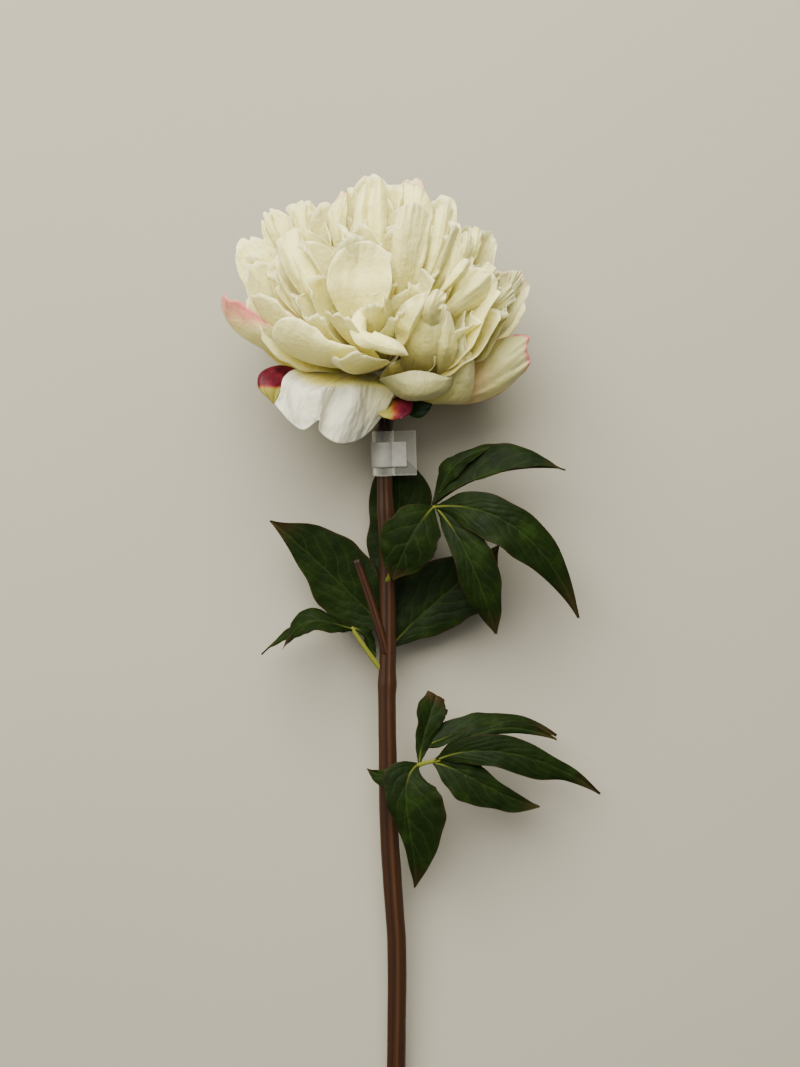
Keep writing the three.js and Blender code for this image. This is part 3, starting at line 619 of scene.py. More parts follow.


# The petals that show by themselves
# The drooping petal: its root part, up under the petals above it, carries painted shade (deep).
DROOPING = [
    drawn(3, 0.2, 1.8, 0.9, [
        [-9,491,22, -32,494,28, -48,496,34, -55,492,39, -57,484,41, -60,478,39],
        [-8,492,22, -29,495,31, -44,492,40, -50,488,44, -52,479,44, -52,469,42],
        [-8,493,22, -26,495,33, -39,489,43, -44,484,47, -46,475,46, -45,465,41],
        [-7,493,22, -21,494,34, -31,488,44, -35,483,46, -36,476,44, -37,470,44],
        [-6,493,22, -17,494,35, -26,488,45, -29,481,43, -34,473,41, -37,464,41],
        [-5,493,22, -13,493,34, -19,489,44, -21,480,45, -25,469,42, -28,458,35],
        [-4,493,22, -8,492,32, -11,488,40, -12,480,39, -14,470,35, -18,459,30],
        [-2,492,22, -1,490,28, 3,486,33, 0,480,32, -4,473,30, -10,465,27]], deep=0.9, long=80, across=80),
]
# The low shade of the cup and of the pink-rimmed petal paints shade. The high pale and shade of the
# left-hand guard petals paint light on faces turned from the lamp, over their whiter tone.
FACING = [
    petal(-86, 46, 98, 72, -26, 62, 62, 44, lift=6, pink=0.9, pink_from=0.72, pale=1.6, shade=0.8, long=40,
          across=36),
    petal(-74, 37, 98, 60, 0, 48, 50, 30, lift=8, pink=0.15, pink_side=-1, pale=1.6, shade=1),
    petal(-50, 34, 90, 70, -24, 56, 58, 26, lift=14, long=40, across=36, shade=1, pale=2.2),
    drawn(2.6, -0.7, 0.4, 0.3, [
        [-3,488,24, -4,489,32, -6,490,40, -6,491,45, -6,491,48],
        [0,485,23, 2,483,35, 3,485,45, 3,489,50, 2,493,51],
        [3,483,21, 8,480,33, 11,482,47, 11,488,53, 11,495,53],
        [6,482,20, 16,480,31, 20,483,45, 20,489,51, 20,494,51],
        [8,482,19, 22,481,29, 27,485,40, 29,490,45, 28,492,47],
        [11,482,19, 25,482,26, 32,488,34, 34,492,40, 34,495,42]], long=48, across=48),
    drawn(2, -0.2, 0.3, 0.3, [
        [11,482,17, 20,482,23, 28,485,33, 31,495,46, 32,506,55],
        [11,481,15, 23,479,21, 31,484,33, 35,499,52, 36,519,62],
        [11,480,13, 24,478,19, 34,482,32, 38,493,48, 37,509,61],
        [11,480,12, 25,478,17, 38,480,28, 40,490,44, 40,504,57],
        [11,480,11, 25,478,14, 39,479,24, 42,488,38, 42,499,48]], long=40, across=36),
    drawn(3, -0.7, 0.6, 0.5, [
        [12,483,11, 25,490,18, 40,502,25, 52,510,28, 64,514,27],
        [11,482,10, 27,487,18, 43,497,28, 57,505,32, 71,513,27],
        [11,481,9, 28,483,19, 45,489,29, 59,498,33, 70,506,29],
        [11,480,8, 29,480,16, 44,483,25, 58,490,29, 72,500,26],
        [11,480,7, 25,478,11, 41,478,17, 56,483,21, 70,495,20]], blush=0.3, pink=1, pink_from=0.94, long=48,
        across=48),
]
# The low pale and shade of these petals make them yellower and darker: painted shade on the side away from
# the lamp.
RIGHT_SIDE = [
    petal(80, 43, 86, 60, 20, 34, 40, 30, lift=4, pale=-1, frill=2.4, wave=3.4, phase=1),
    petal(84, 36, 98, 46, 35, 44, 35, 45, pale=-1, frill=1.7, wave=3, long=40, across=36),
    petal(106, 52, 97, 60, 42, 42, 35, 30, pink=0.2, pink_from=0.93, frill=2.4, wave=3.4, shade=-1,
          pale=-0.8),
    petal(114, 36, 104, 45, 30, 34, 35, 40, frill=2.4, wave=3.4, shade=-0.8, pale=-0.8),
    petal(108, 23, 106, 30, 20, 26, 40, 40, frill=1.4, pale=-0.6),
    petal(140, 30, 110, 36, 25, 30, 40, 20, frill=1.6),
]
FAN = [
    petal(150, 15, 106, 22, 10, 36, 35, side=-3, narrow=0.4),
    petal(160, 25, 115, 30, 22, 32, 35, side=-3, narrow=0.4, pink=0.8, pink_side=-1, pink_from=0.94),
    petal(-176, 23, 116, 28, 16, 36, 40),
    petal(178, 18, 99, 24, 14, 24, 45),
    petal(-160, 22, 111, 30, 18, 34, 40, -10, pink=0.5, pink_side=1, pink_from=0.94),
    petal(-142, 33, 109, 42, 28, 34, 40, -20),
    petal(-138, 22, 108, 30, 16, 33, 35, -30),
]
LEFT_SIDE = [
    petal(-110, 26, 105, 34, 24, 36, 32, -45),
    petal(-128, 39, 114, 48, 34, 24, 30, -30, curl=2),
    petal(-114, 44, 110, 52, 36, 34, 35, -40, frill=1.4, curl=3),
    petal(-100, 41, 102, 52, 30, 36, 35, -35),
]
MIDDLE = [
    petal(0, 4, 106, 10, -8, 26, 30, side=-10, wide=0.85, narrow=0.1, pale=0.8, long=30),
    drawn(1, 1, 0.4, 0.5, [
        [-21,517,62, -27,525,73, -31,535,81, -30,544,83, -26,552,82],
        [-18,516,61, -21,525,70, -23,535,77, -22,545,77, -20,555,80],
        [-15,515,61, -15,525,69, -16,535,74, -16,546,75, -14,557,81],
        [-12,516,61, -9,525,71, -8,535,77, -8,545,78, -8,556,82],
        [-9,517,62, -4,525,75, 0,534,83, 0,543,84, -2,552,83]], long=44, across=40),
    petal(-64, 30, 92, 40, 20, 28, 35, -20, frill=1.3, lift=8),
    petal(-34, 26, 86, 36, 14, 34, 44, -16, frill=0.8, lift=8, twist=12),
    petal(-18, 37, 76, 52, 14, 34, 50, 14, frill=0.8, lift=8, twist=-12),
    petal(56, 20, 94, 28, 15, 36, 40, 36, long=32, lift=6),
    petal(-66, 36, 86, 44, 24, 15, 45, -10, lift=6, pink=0.5, pink_from=0.8),
    petal(-50, 30, 84, 40, 10, 17, 50, 20, lift=6, frill=1.8),
    petal(-150, 10, 98, 20, 5, 28, 40, -20, frill=1.4),
    petal(160, 8, 98, 15, 5, 26, 40, 10, side=-6, frill=1.4),
]
BACK = [
    petal(122, 72, 92, 84, 50, 50, 44),
    petal(154, 90, 94, 96, 72, 54, 30),
    petal(-160, 90, 96, 96, 72, 54, 30),
    petal(-126, 72, 94, 84, 48, 50, 44),
    petal(138, 52, 100, 64, 34, 42, 44),
    petal(168, 42, 106, 56, 30, 38, 44),
    petal(-168, 46, 106, 58, 34, 38, 44),
    petal(-146, 56, 104, 64, 36, 42, 44),
]
# Low shade on some of these paints shade on petals that lie in shadow.
SEEN = [
    drawn(-0.3, 0.2, 1.1, 1.5, [
        [6,494,38, 4,504,55, 2,512,62, 2,521,68, 5,527,69],
        [11,493,40, 11,504,61, 10,514,68, 10,523,72, 11,531,73],
        [17,493,40, 17,503,62, 17,513,70, 18,523,74, 19,533,75],
        [22,493,38, 23,502,58, 24,511,68, 25,520,71, 26,528,70],
        [26,493,36, 28,501,52, 30,509,60, 30,517,64, 29,524,65]], long=48, across=48),
    drawn(1, 0.2, 0.9, 1.2, [
        [15,517,70, 15,523,77, 16,528,80, 18,532,79], [19,516,71, 19,523,82, 20,529,85, 22,534,81],
        [23,516,70, 24,523,78, 26,528,80, 27,532,77]]),
    drawn(-0.3, 0.4, 0.4, 0.6, [
        [23,493,44, 23,505,63, 24,516,70, 27,524,71], [25,493,43, 27,504,65, 28,514,69, 29,523,68],
        [28,493,38, 31,500,55, 33,508,60, 31,518,62]]),
    drawn(0.7, 0.3, 0.3, 0.5, [
        [1,522,46, 0,535,60, 0,548,69, 1,562,74, 4,574,74],
        [3,521,50, 3,535,64, 4,548,72, 5,562,76, 9,576,75],
        [6,521,50, 7,535,62, 9,548,69, 11,561,72, 13,576,72],
        [8,521,48, 10,535,59, 13,547,66, 16,559,68, 18,572,67],
        [10,522,46, 12,535,58, 15,544,65, 18,555,66, 20,568,64]], long=44, across=36),
    drawn(0.5, 0.9, 0.2, 0.4, [
        [4,531,33, 6,551,43, 6,568,49, 6,580,49, 6,590,47],
        [7,531,33, 9,551,44, 10,568,50, 10,580,50, 11,588,48],
        [10,531,33, 13,550,44, 14,565,49, 15,578,50, 16,586,47],
        [13,531,33, 16,548,43, 19,561,47, 21,571,47, 21,578,45]], pink=0.8, pink_from=0.96, pink_side=-1),
    drawn(0.4, 0.7, 0.2, 0.5, [
        [13,534,54, 16,546,59, 19,558,62, 21,568,63, 22,574,61],
        [15,533,57, 19,544,63, 23,556,66, 25,567,66, 27,577,63],
        [17,532,55, 22,544,60, 26,554,62, 29,565,61, 31,574,57]]),
    drawn(-0.3, -0.9, 0.1, 0.3, [
        [16,534,61, 20,542,66, 24,551,69, 28,560,69, 30,566,67],
        [17,533,61, 22,541,66, 26,550,68, 29,559,68, 32,566,66],
        [18,532,59, 23,540,63, 28,549,64, 31,558,63, 34,565,61]]),
    drawn(-0.6, 0.4, 0.2, 1, [
        [20,534,52, 25,542,57, 29,550,59, 32,557,59, 33,561,56],
        [22,534,54, 28,541,59, 33,548,61, 37,556,61, 37,564,57],
        [24,533,52, 31,539,56, 36,547,57, 40,554,56, 41,561,52]]),
    drawn(0.8, 1, 0.2, 0.9, [
        [35,546,47, 38,553,50, 39,560,50, 40,565,48], [37,545,48, 40,553,52, 42,560,52, 42,567,50],
        [39,546,46, 43,552,49, 45,559,49, 46,565,46]]),
    drawn(-0.2, 0.9, 0.2, 0.7, [
        [23,533,67, 27,539,70, 31,545,72, 35,550,69], [25,533,68, 29,537,72, 34,543,74, 38,549,70],
        [26,534,65, 31,537,68, 36,541,69, 39,547,65]]),
    drawn(-0.1, -0.2, 0.5, 0.9, [
        [22,521,56, 29,530,62, 36,537,65, 43,544,65, 48,549,61],
        [23,520,58, 32,528,65, 39,534,69, 47,541,68, 52,545,64],
        [24,519,56, 34,525,63, 42,531,66, 49,536,64, 54,540,60],
        [25,517,53, 35,523,59, 43,527,60, 49,531,59, 53,535,54]], long=40, across=36),
    drawn(-1.2, -1.2, 0.5, 0.9, [
        [25,515,46, 35,521,52, 45,527,54, 54,534,52, 60,539,48],
        [25,513,44, 37,517,50, 47,522,53, 56,528,51, 62,533,47],
        [25,510,42, 36,512,45, 46,515,47, 54,520,46, 59,524,41]], long=36, across=30),
    drawn(0.4, -1.5, 0.4, 1, [
        [45,521,34, 52,531,38, 58,540,39, 61,546,37], [46,518,33, 54,527,37, 61,536,38, 67,545,35],
        [48,515,30, 56,522,33, 62,530,35, 66,536,32]]),
    drawn(0.6, 0.8, 0.4, 0.5, [
        [-29,516,42, -43,530,57, -52,542,60, -56,552,59, -58,559,55],
        [-28,517,46, -39,532,63, -47,545,66, -51,556,64, -51,564,59],
        [-26,518,46, -35,534,63, -41,547,64, -44,555,63, -46,564,59],
        [-25,519,44, -32,535,58, -36,547,59, -40,554,58, -43,558,55]], long=44, across=36),
    drawn(0.8, 0.7, 0.2, 0.5, [
        [-55,550,43, -61,561,48, -64,569,48, -63,574,46], [-53,551,44, -58,562,50, -61,570,50, -61,574,47],
        [-51,552,43, -55,561,47, -58,566,48, -59,571,45]]),
    drawn(0.2, 0.7, 0.3, 0.5, [
        [-40,547,45, -46,561,50, -49,571,50, -49,577,48], [-38,548,47, -43,562,53, -45,572,53, -45,580,49],
        [-36,548,45, -39,560,50, -41,569,50, -41,576,48]]),
    drawn(0.2, 0.7, 0.2, 0.5, [
        [-27,550,45, -30,562,51, -32,572,51, -30,578,49], [-25,551,47, -27,564,54, -27,575,54, -25,582,50],
        [-23,552,45, -23,563,51, -22,574,51, -22,585,48]], pink=0.9, pink_from=0.95, pink_side=1),
    drawn(0.3, 0.6, 0.2, 0.4, [
        [-18,546,45, -19,560,52, -19,572,52, -17,583,49], [-15,547,47, -15,561,55, -15,575,55, -13,588,51],
        [-12,547,46, -11,561,51, -11,575,51, -10,586,48], [-8,547,47, -6,561,55, -6,576,55, -6,591,51],
        [-5,548,45, -3,560,52, -2,573,51, -3,588,48]], long=36, across=36),
]
LIP = drawn(0.2, 0.8, 0.3, 0.3, [
    [0,487,28, -4,490,38, -6,492,44], [2,487,28, -1,493,39, -2,497,45], [4,487,28, 5,496,40, 5,501,45],
    [7,487,28, 11,496,40, 12,501,45], [9,487,28, 17,493,39, 19,497,44]], long=30, across=28)


def twins(petals):
    """A shorter, more ruffled petal behind and beside each of these, with seeded draws."""
    made = []
    for k, p in enumerate(petals):
        way = 1 if k % 2 else -1
        made.append({**p, "az": p["az"] + way * draw(6, 12), "out": p["out"] - draw(2, 6),
                     "reach": p["reach"] - draw(3, 10),
                     "roll": p["roll"] + draw(-25, 25), "twist": draw(-40, 40),
                     "width": p["width"] * draw(0.75, 0.95), "wave": draw(2.5, 4),
                     "waves": draw(4, 7), "phase": draw(0, 6), "frill": 2.2, "fold": 1.6,
                     "pink": 0, "curl": draw(-2, 3), "long": 26, "across": 24})
    return made


# Rings of small petals: how far out they lean in degrees, how many, and their least and most reach
RINGS = [(4, 6, 84, 96), (12, 10, 82, 98), (20, 14, 80, 100), (29, 16, 80, 102), (38, 16, 80, 102),
         (48, 14, 82, 98)]


def small_petals():
    """The many small ruffled petals that fill the middle, in rings by a rule with a seeded draw."""
    made = []
    for k, (out, count, near, far) in enumerate(RINGS):
        for i in range(count):
            az = 360 / count * (i + 0.5 * (k % 2)) + draw(-10, 10)
            facing = cos(radians(az))
            reach = draw(near, far) - 12 * max(facing, 0) + 6 * max(-facing, 0)
            if out > 26 and facing > 0.2:  # the large petals of the front stand here
                continue
            made.append(dict(az=az, out=out + draw(-3, 3), reach=reach, side=draw(-4, 4),
                             leave=out * 1.15 + draw(0, 10),
                             arrive=out * 0.6 + draw(-12, 20), lift=6,
                             width=draw(17, 27), cup=draw(30, 60),
                             roll=draw(-45, 45), twist=draw(-50, 50),
                             frill=draw(1.4, 2.4), fold=1.4, wave=draw(1.6, 3),
                             waves=draw(4, 7), phase=draw(0, 6),
                             curl=draw(-2, 3), long=18, across=16))
    return made


# The narrow petal that curls over the middle
STRAP_RIB = catmull([-6,494,23, -10.5,511,54, -11.3,519.7,70, -14.2,515.5,77, -11.7,509.9,82,
                     -4,506.8,84, 2.8,504.5,83, 8.5,502,78])
STRAP_FACE = [0.25, -0.35, 0.9]
STRAP_HALF, STRAP_HOLLOW = 5.2, 3.2


def strap(u, v):
    pt, along = STRAP_RIB(u)
    x = unit(np.cross(along, STRAP_FACE))
    y = unit(np.cross(x, along))
    half = STRAP_HALF * (0.6 + 0.4 * np.sin(np.pi * np.minimum(u * 1.1, 1)))
    half = half * np.sqrt(np.maximum(0.02, 1 - (2 * u - 1) ** 8))
    ripple = 0.9 * np.sin(7 * u + 2 * v) * v ** 2 + 0.5 * np.sin(15 * u + 1) * v ** 3
    return pt + x * (half * v)[..., None] - y * (STRAP_HOLLOW * v ** 2 - ripple)[..., None]


def bloom():
    cloth = petal_material("petal_cloth", False)
    silk = petal_material("petal_silk", True)
    seed = 0
    groups = {"petal_drooping": DROOPING, "petals_facing": FACING, "petals_right": RIGHT_SIDE,
              "petals_fan": FAN, "petals_left": LEFT_SIDE, "petals_middle": MIDDLE, "petals_back": BACK,
              "petals_between": twins(RIGHT_SIDE + FAN + LEFT_SIDE), "petals_small": small_petals(),
              "petals_seen": SEEN}
    for name, petals in groups.items():
        piece = Piece()
        if name == "petals_small":
            # The core takes the deepest colour of the petals' ramp: dark olive, partly painted shade at the
            # heart.
            t = np.linspace(-np.pi / 2 + 0.12, np.pi / 2 - 0.12, 13)
            core = np.stack([CORE_R * np.cos(t), CORE_AT + CORE_H * np.sin(t)], -1)
            round_form(piece, core, 24, (0.0, 1.0, 0.3))
        for petal in petals:
            seed += 1
            add_petal(piece, petal, seed)
        if name == "petals_middle":
            sheet(piece, strap, 48, 20, PETAL_T, petal_look(numbers(pale=0.6, shade=1, seed=3), strap))
            add_petal(piece, LIP, 91)
        piece.make(name, silk if name == "petal_drooping" else cloth, "bloom")


# The calyx: sepals, bracts and the cup, whose outline holds the radius and height of its rings
SEPALS = [
    petal(150, 92, 34, 108, 74, 20, 34),
    dict(lines=[
        [-11,483,8, -38,490,10, -56,498,13, -68,495,18, -70,487,20, -63,479,19],
        [-10,481,8, -35,486,9, -53,493,14, -62,490,20, -65,485,22, -62,478,19],
        [-8,480,8, -33,482,9, -47,486,12, -55,488,17, -58,484,20, -62,478,19]]),
    dict(lines=[
        [-3,483,13, -6,479,21, -7,475,27, -7,473,32, -4,471,34],
        [0,484,13, 2,480,23, 2,477,30, 2,473,35, 1,470,35],
        [3,485,13, 8,482,21, 11,479,27, 10,474,32, 6,471,34]]),
]
BRACTS = [
    dict(lines=[
        [4,481,11, 6,475,14, 11,471,16, 16,471,17, 20,475,17],
        [5,482,11, 10,479,14, 14,476,17, 18,476,18, 21,477,18],
        [6,483,11, 12,483,13, 17,483,15, 21,481,17, 21,478,18]]),
    petal(-150, 96, 38, 112, 80, 13, 20),
]
CUP = [(0.4, -11), (4.6, -11), (9.2, -7.5), (11.2, -3.2), (10.3, -2.6), (7.6, -4.4), (4.2, -6.0),
       (0.4, -6.8)]
SEPAL = dict(wave=0, claw=0.5, wide=0.5, narrow=0.75, round=1.1, frill=0.1, fold=0.3)
SEPAL_DROP = 9.5  # how far under the heart's petals an undrawn sepal leaves the cup


def calyx():
    piece = Piece()
    for k, spec in enumerate(SEPALS + BRACTS):
        drawn = "lines" in spec
        P = numbers(**SEPAL, **spec, seed=300 + k)
        surface = (drawn_surface if drawn else petal_surface)(P)

        def placed(u, v):
            return surface(u, v) - AXIS * (0 if drawn else SEPAL_DROP) * (1 - 0.55 * u)[..., None]

        def look(u, v):
            yellow = (smooth(0.5, 0.1, u), smooth(0.66, 0.82, u + 0.06 * v), smooth(0.5, -0.6, v))
            return yellow[k % 3], 1.0 if k >= len(SEPALS) else 0.0, 0

        sheet(piece, placed, 30, 20, SEPAL_T, look, rim=0.5)
    round_form(piece, CUP, 40, (0.7, 0.55, 0.0))
    piece.make("sepals_and_cup", sepal_material(), "calyx")


# The stem
NECK = HEART - AXIS * NECK_DROP
STEM = catmull([0,0,0, 1.6,60,0, 2.2,115,0, 2.6,175,0, 0.7,208,0, -1.6,245,0, -2.4,284,0, -2.8,317,0,
                -2.3,350,0, -2.6,394,0, -3.9,434,0, -4.6,456,0.6, *(NECK - AXIS * 7), *NECK])
STUB = through([-3.4,343,1.5, -7.2,358,3.2, -12.8,376,4.4, -19.1,394.2,5.5])
STUB_R, STUB_TAPER = 2.5, 0.4
KNOTS = [0.56, 0.74]  # where the stem swells
GROOVE_DEPTH, GROOVE_WIDTH, GROOVE_AT = 0.24, radians(20), radians(70)
GROOVE_TURN = radians(-20)  # how far the groove winds round towards the cut end


def groove(angle):
    off = np.arctan2(np.sin(angle - GROOVE_AT), np.cos(angle - GROOVE_AT))
    return bell(off, 0, GROOVE_WIDTH), off


def stem():
    piece = Piece()

    def radius(t, a):
        swell = sum(0.5 * bell(t, at, 0.012) for at in KNOTS)
        r = STEM_R_CUT + (STEM_R_NECK - STEM_R_CUT) * smooth(0.3, 0.85, t) + swell
        deep, off = groove(a)
        ridges = 0.05 * np.sin(9 * a + 2.2 * np.sin(7 * t)) + 0.05 * np.sin(17 * a + 5 * np.sin(5 * t))
        uneven = 0.06 * np.sin(61 * t + 2 * a) + 0.05 * np.sin(143 * t + a)
        return r * (1 - GROOVE_DEPTH * deep) + (ridges + uneven) * (1 - deep) * 0.8

    def look(t, a):
        deep, off = groove(a)
        # Painted shade in the groove and under the bloom, and a painted highlight line beside the groove on
        # the lower stem.
        return deep ** 1.5, smooth(0.90, 0.955, t), bell(off, 0.62, 0.12) * smooth(0.75, 0.5, t)

    def winding(t):
        return GROOVE_TURN * np.maximum(0, 1 - t / 0.45)

    def stub_radius(t, a):
        return (STUB_R - STUB_TAPER * t) * (1 - GROOVE_DEPTH * groove(a)[0])

    tube(piece, STEM, 300, 72, radius, look, winding)
    tube(piece, STUB, 40, 40, stub_radius, look)
    piece.make("stem_moulded", stem_material(), "stem")


# Leaves
def stalk(path, start, end):
    """A stalk through four points, with the radius at its two ends."""
    return dict(path=path, start=start, end=end)


def leaflet(rib, left, right, face=(0, 0.1, 1), fold=8, rib_long=0.3):
    """A rib through four points, half widths on its left and right, the way its face looks, the angle
    by which its halves fold up, and how much of the rib is yellow-green like the stalk."""
    return dict(rib=rib, left=left, right=right, face=face, fold=fold, rib_long=rib_long)


SPRAYS = {
    "leaf_upper_right": [
        stalk([-2.5,382,2, 4,396,9.5, 13,411,13, 23,424.2,14.5], 1.5, 1.1),
        leaflet([22.3,424,14.5, 44,438,20, 68,444,21, 91.6,443.6,18], [1,18,20,18,14,7,0.5],
                [0.8,3,4,4,3,2,0.5], [-0.25,1,0.55], fold=42, rib_long=0.8),
        leaflet([25.5,431,15, 32,444,17, 41.5,451,17, 54,456,14], [0.8,7,4,3,0.5], [0.8,5,5,3,0.5],
                [-0.3,0.5,1], fold=12, rib_long=0),
        leaflet([23,423.5,14.5, 50,421,24, 77,402,21, 100.4,362.8,5], [1,8,10,11,10,6.5,0.5],
                [1,9,13,14,11,6,0.5], [0.1,0.2,1]),
        leaflet([24,422.5,14.5, 37,404,23, 47.5,380,21, 55.7,355,10], [1,9,12,13,11,7,0.5],
                [1,5,7,9,9,6,0.5]),
        leaflet([22.5,424,14.5, 13,413,22, 6,400,22, 0,384.6,15], [1,12,15,15,12,0.5], [1,11,15,15,10,0.5],
                [0.1,0,1], fold=4),
    ],
    "leaf_back": [
        stalk([-2.4,340,-2, -2.4,346,-7, -2.2,353,-9.5, -1.6,361,-11], 1.7, 1.2),
        leaflet([-3.5,356,-9, -19,370,-12, -41,392,-8, -66,414.8,-2], [1,12,16,16,11,5,0.5],
                [1,13,18,21,21,12,0.5], fold=9),
        leaflet([-2.2,358,-10, 2,388,-16, 4,420,-19, 3.2,453,-13], [1,8,14,17,17,14,0.5],
                [1,9,15,18,18,14,0.5]),
        leaflet([-1,344,-9, 16,362,-12, 37,380,-14, 58.7,400,-15], [1,12,19,22,17,8,0.5],
                [1,8,14,18,20,14,0.5]),
    ],
    "leaf_left": [
        stalk([-3,331,0, -9,338,1, -16,348,1.5, -22,357,1], 1.5, 1.1),
        leaflet([-21,356,1, -35,361,10, -48,360,11, -59,345.8,4], [0.8,7,8,6,0.5], [0.8,7,9,7,0.5],
                [-0.2,0.9,0.8], fold=10),
        leaflet([-21,356.5,1, -38,358,2, -54,354.5,0, -71,341,-6], [0.8,4,5,4,0.5], [0.8,4,5,5,0.5],
                [-0.2,0.8,0.5], fold=10),
        leaflet([-21.5,356.5,1, -16,354,1, -12,347,0, -10,339,0], [0.8,4,5,3,0.5], [0.8,2,2,1.5,0.5],
                [0.6,0.4,1], fold=14),
    ],
    "leaf_lower_right": [
        stalk([-0.8,262,1.5, 5.5,271,10, 10,279,14, 15,285,15.5], 1.5, 1.2),
        stalk([14.4,284.6,15.5, 18,286,16.5, 22,287,17, 27,288,17.5], 1.2, 1),
        leaflet([14,285,15.5, 7.5,270,22, 10.5,244,19, 12.4,215,8], [1,14,19,20,17,8,0.5],
                [1,12,12,8,5,3,0.5], [0,0,1]),
        leaflet([12,284,16, 2,281,19, -6,280,17, -13.5,282,14], [1,5,8,5,0.5], [1,3,3,2,0.5], [0,0,1]),
        leaflet([14.5,286,15.5, 16.5,298,14, 20,310,12, 24,321,7], [0.8,3.5,6,9,6], [0.8,5,7,8,6],
                [0.3,0,1], fold=16),
        leaflet([18,303,11, 22,308,10, 26,311,8, 30,311.5,7], [1.5,3,3,1.5], [2,4,4,1.5], [0.3,0,1],
                fold=10),
        leaflet([16.5,294,13, 36,301.5,12, 60,306,8, 89.4,297,0], [0.8,8,8,8,6,5,0.5],
                [0.8,5,2,1.5,1.5,1.5,0.5], [-0.2,0.8,0.8], fold=22),
        leaflet([22,286.5,16.5, 48,294,23, 80,287,19, 112.8,266.8,7], [0.8,5,9,9,6,4,0.5],
                [0.8,5,8,9,10,4,0.5], [0,0.15,1]),
        leaflet([24,288,17.5, 42,301,20, 63,305,17, 88.9,297,9], [0.8,3,5,3,4,3,0.5], [0.8,5,6,3,3,2,0.5],
                [0,0.3,1]),
        leaflet([22,286,16.5, 38,281,20, 58,270,18, 80.1,260.1,9], [0.8,7,9,7,5,3,0.5],
                [0.8,8,13,13,10,6,0.5]),
    ],
}


def vein_lines(u, v, count, seed):
    """How near a point is to a side vein, and the quilted height between the veins."""
    a = np.abs(v)
    bent = 0.030 * np.sin(11 * u + 3 * seed) * a + 0.012 * np.sin(31 * u + 5 * a + seed)
    phase = (u - (0.26 + 0.16 * a) * a + bent) * count + np.where(v < 0, 0.5, 0.0) + seed * 0.37
    away = np.abs(phase - np.round(phase))
    ends = smooth(0.02, 0.12, u) * smooth(1.0, 0.85, u) * smooth(0.95, 0.55, a)
    return bell(away, 0, 0.045) * ends, (1 - (1 - 2 * away) ** 2) * ends


def add_stalk(piece, path, start, end):
    def radius(t, a):
        return start + (end - start) * t + 0.1 * np.sin(3 * a)

    tube(piece, through(path), 28, 16, radius, lambda t, a: (0, 0, 1))


def add_leaflet(piece, leaf, seed):
    rib = through(leaf["rib"])
    left, right = profile(leaf["left"]), profile(leaf["right"])
    facing = unit(np.array(leaf["face"], float))
    lift = radians(leaf["fold"])
    length = np.linalg.norm(np.subtract(leaf["rib"][-3:], leaf["rib"][:3], dtype=float))
    count = max(3, round(length / 11))

    def surface(u, v):
        pos, along = rib(u)
        up = unit(facing - along * (along @ facing)[..., None])
        side = np.cross(along, up)
        a = np.abs(v)
        half = np.where(v < 0, left(u), right(u))
        quilt = vein_lines(u, v, count, seed)[1]
        rise = a * half * sin(lift) - 0.12 * half * v * v
        ripple = 1.0 * v * v * np.sin(9 * u + np.where(v < 0, 1.3, 0) + seed)
        wavy = 0.35 * a ** 3 * np.sin(23 * u + seed) + 0.2 * a ** 3 * np.sin(41 * u + 2 * seed)
        size = np.clip(half / 10, 0.2, 1)
        emboss = (0.22 * quilt - 0.25 * bell(v * half, 0, 0.9)) * size
        emboss = emboss + 0.22 * np.sin(5 * v + 9 * u + seed) * np.sin(13 * u - 3 * v) * size * a
        half = half * (1 + (0.04 * np.sin(17 * u + seed) + 0.025 * np.sin(31 * u + 2 * seed + 2 * v)) * a)
        p = pos + side * (v * half * cos(lift))[..., None]
        return pressed(p + up * (rise + ripple + wavy + emboss)[..., None])

    def look(u, v):
        half = np.where(v < 0, left(u), right(u))
        rib_line = bell(v * half, 0, 0.42)
        vein = np.maximum(vein_lines(u, v, count, seed)[0] * 0.5, rib_line * 0.55)
        brown = np.maximum(smooth(0.8, 1.0, u), smooth(0.9, 1.0, np.abs(v)) * 0.6)
        return vein, brown, rib_line * smooth(leaf["rib_long"] + 1e-3, 0.0, u)

    sheet(piece, surface, int(length * 1.6) + 16, 56, LEAF_T, look)


def leaves():
    coated = leaf_material()
    seed = 0
    for name, spray in SPRAYS.items():
        piece = Piece()
        for part in spray:
            if "path" in part:
                add_stalk(piece, **part)
            else:
                seed += 1
                add_leaflet(piece, part, seed)
        piece.make(name + "_cloth", coated, name)


# The tag: film looped round the stem and closed into a flag, and the sticker over it
TAG_AT = np.array([-4.6, 451.5, 0.5])
TAG_SLOPE, TAG_TURN = radians(3), radians(1.5)
SLEEVE_R, SOLID_T, CLEAR = 5.6, 0.6, 0.35
FILM_T, PAPER_T = 0.3, 0.25
SLEEVE_LONG, FLAG_ROOT, FLAG_END, FLAG_Z, FLAG_BOW = 24, 4.9, 17.6, 3.8, 0.2
LABEL_LONG, LABEL_AT, LABEL_END, LABEL_START = 13.4, -0.5, 12.4, radians(165)
LABEL_LIFT = 0.15  # half of the gap that the sticker leaves under and over itself


def strip(piece, path, long, y_at, thick, bow=0.0):
    """A strip of film or paper: a path of (x, z) points round the stem, pulled along it."""
    path = np.array(path)
    step = np.concatenate([[0], np.cumsum(np.linalg.norm(np.diff(path, axis=0), axis=1))])
    step /= step[-1]

    def surface(u, v):
        x, z = [np.interp((v + 1) / 2, step, path[:, k]) for k in (0, 1)]
        y, z = turned((u - 0.5) * long + y_at, z + bow * np.sin(np.pi * u) * smooth(0.2, 1, v), TAG_SLOPE)
        x, y = turned(x, y, TAG_TURN)
        return np.stack([x, y, z], -1) + TAG_AT

    sheet(piece, surface, 20, len(path) * 2, thick, lambda u, v: (0, 0, 0), rim=0.9)


def arc(r, start, end, steps):
    return [(r * cos(a), r * sin(a)) for a in np.linspace(start, end, steps)]


def flat(start, end, z, steps):
    return [(x, z) for x in np.linspace(start, end, steps)]


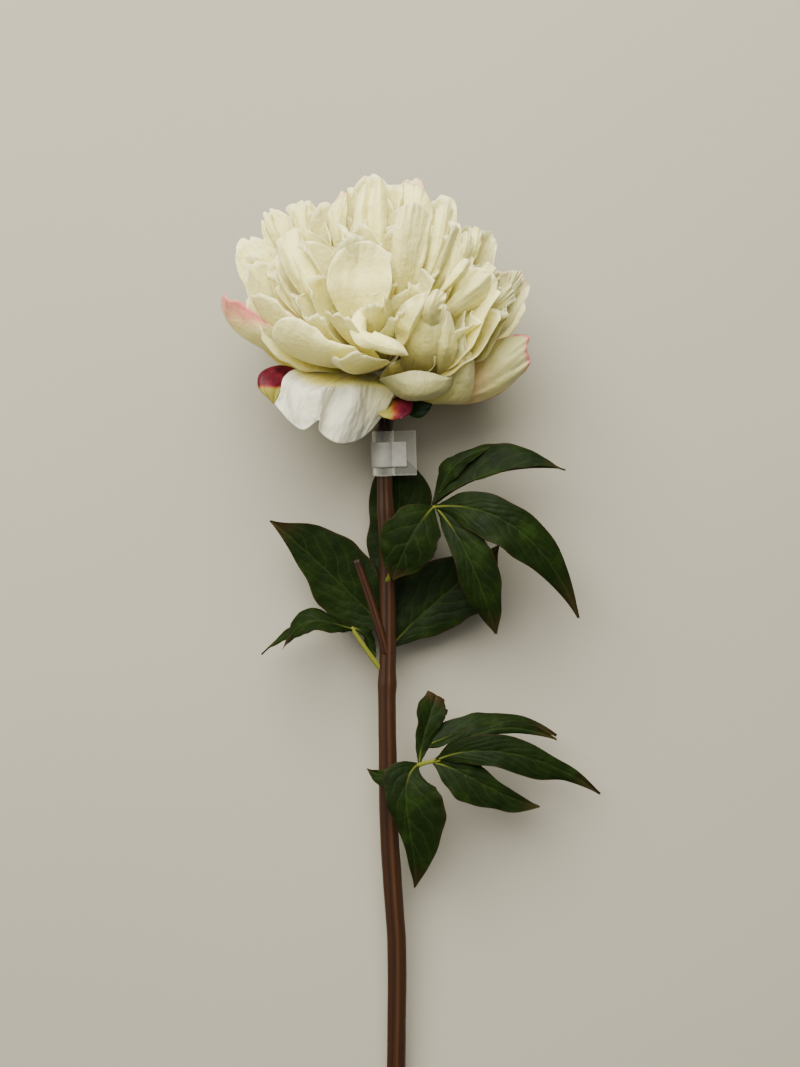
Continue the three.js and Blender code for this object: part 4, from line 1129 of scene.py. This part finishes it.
def tag():
    film = Piece()
    r, z = SLEEVE_R + SOLID_T / 2, FLAG_Z + SOLID_T / 2
    start = asin(z / r)
    strip(film, arc(r, start, start + TURN - 0.02, 60), SLEEVE_LONG, 0, FILM_T)
    strip(film, flat(FLAG_ROOT, FLAG_END, z, 14), SLEEVE_LONG, 0, FILM_T, FLAG_BOW)
    film.make("tag_film_sleeve", film_material(), "tag_sleeve")
    label = Piece()
    r, z = SLEEVE_R + SOLID_T + CLEAR + LABEL_LIFT, FLAG_Z + SOLID_T + CLEAR + LABEL_LIFT
    bend = arc(r, LABEL_START, asin(z / r), 30)
    strip(label, bend + flat(bend[-1][0] + 0.4, LABEL_END, z, 10), LABEL_LONG, LABEL_AT, PAPER_T)
    label.make("tag_sticker", label_material(), "tag_label")


# The stage: a pale floor, soft light and the view from straight above
FLOOR_SIZE = 8
EYE_OVER, LENS, SENSOR = 0.9, 56.25, 36
AIM = np.array([4.3, 408.0, 0.0])


def floor():
    bpy.ops.mesh.primitive_plane_add(size=FLOOR_SIZE)
    ground = bpy.context.object
    ground.name = "floor"
    m = Nodes("floor_pale")
    tone = m.ramp(m.noise(0.5, 2.0), [(0.3, (0.270, 0.256, 0.202)), (0.7, (0.290, 0.275, 0.218))])
    ground.data.materials.append(m.surface(m.body(tone, 0.9, 0.1)))


def light(name, at, aim, size, energy, colour):
    data = bpy.data.lights.new(name, "AREA")
    data.shape = "DISK"
    data.size, data.energy, data.color = size, energy, colour
    lamp = bpy.data.objects.new(name, data)
    lamp.location = at
    lamp.rotation_euler = (Vector(aim) - Vector(at)).to_track_quat("-Z", "Y").to_euler()
    bpy.context.scene.collection.objects.link(lamp)


def studio():
    world = bpy.data.worlds.new("soft")
    world.use_nodes = True
    inputs = world.node_tree.nodes["Background"].inputs
    inputs["Color"].default_value = (1.0, 0.985, 0.95, 1)
    inputs["Strength"].default_value = 0.19
    bpy.context.scene.world = world
    light("key", (-0.32, 1.15, 1.35), (0, 0.2, 0.05), 1.8, 118, (1.0, 0.965, 0.88))
    light("fill", (-0.15, 0.5, 1.8), (-0.05, 0.2, 0), 1.4, 18, (0.99, 0.985, 0.97))


def camera():
    data = bpy.data.cameras.new("camera")
    data.sensor_fit, data.sensor_height, data.lens = "VERTICAL", SENSOR, LENS
    eye = bpy.data.objects.new("camera", data)
    eye.location = row(AIM) + UPWARD * EYE_OVER
    bpy.context.scene.collection.objects.link(eye)
    bpy.context.scene.camera = eye


bloom()
calyx()
stem()
leaves()
tag()
floor()
studio()
camera()
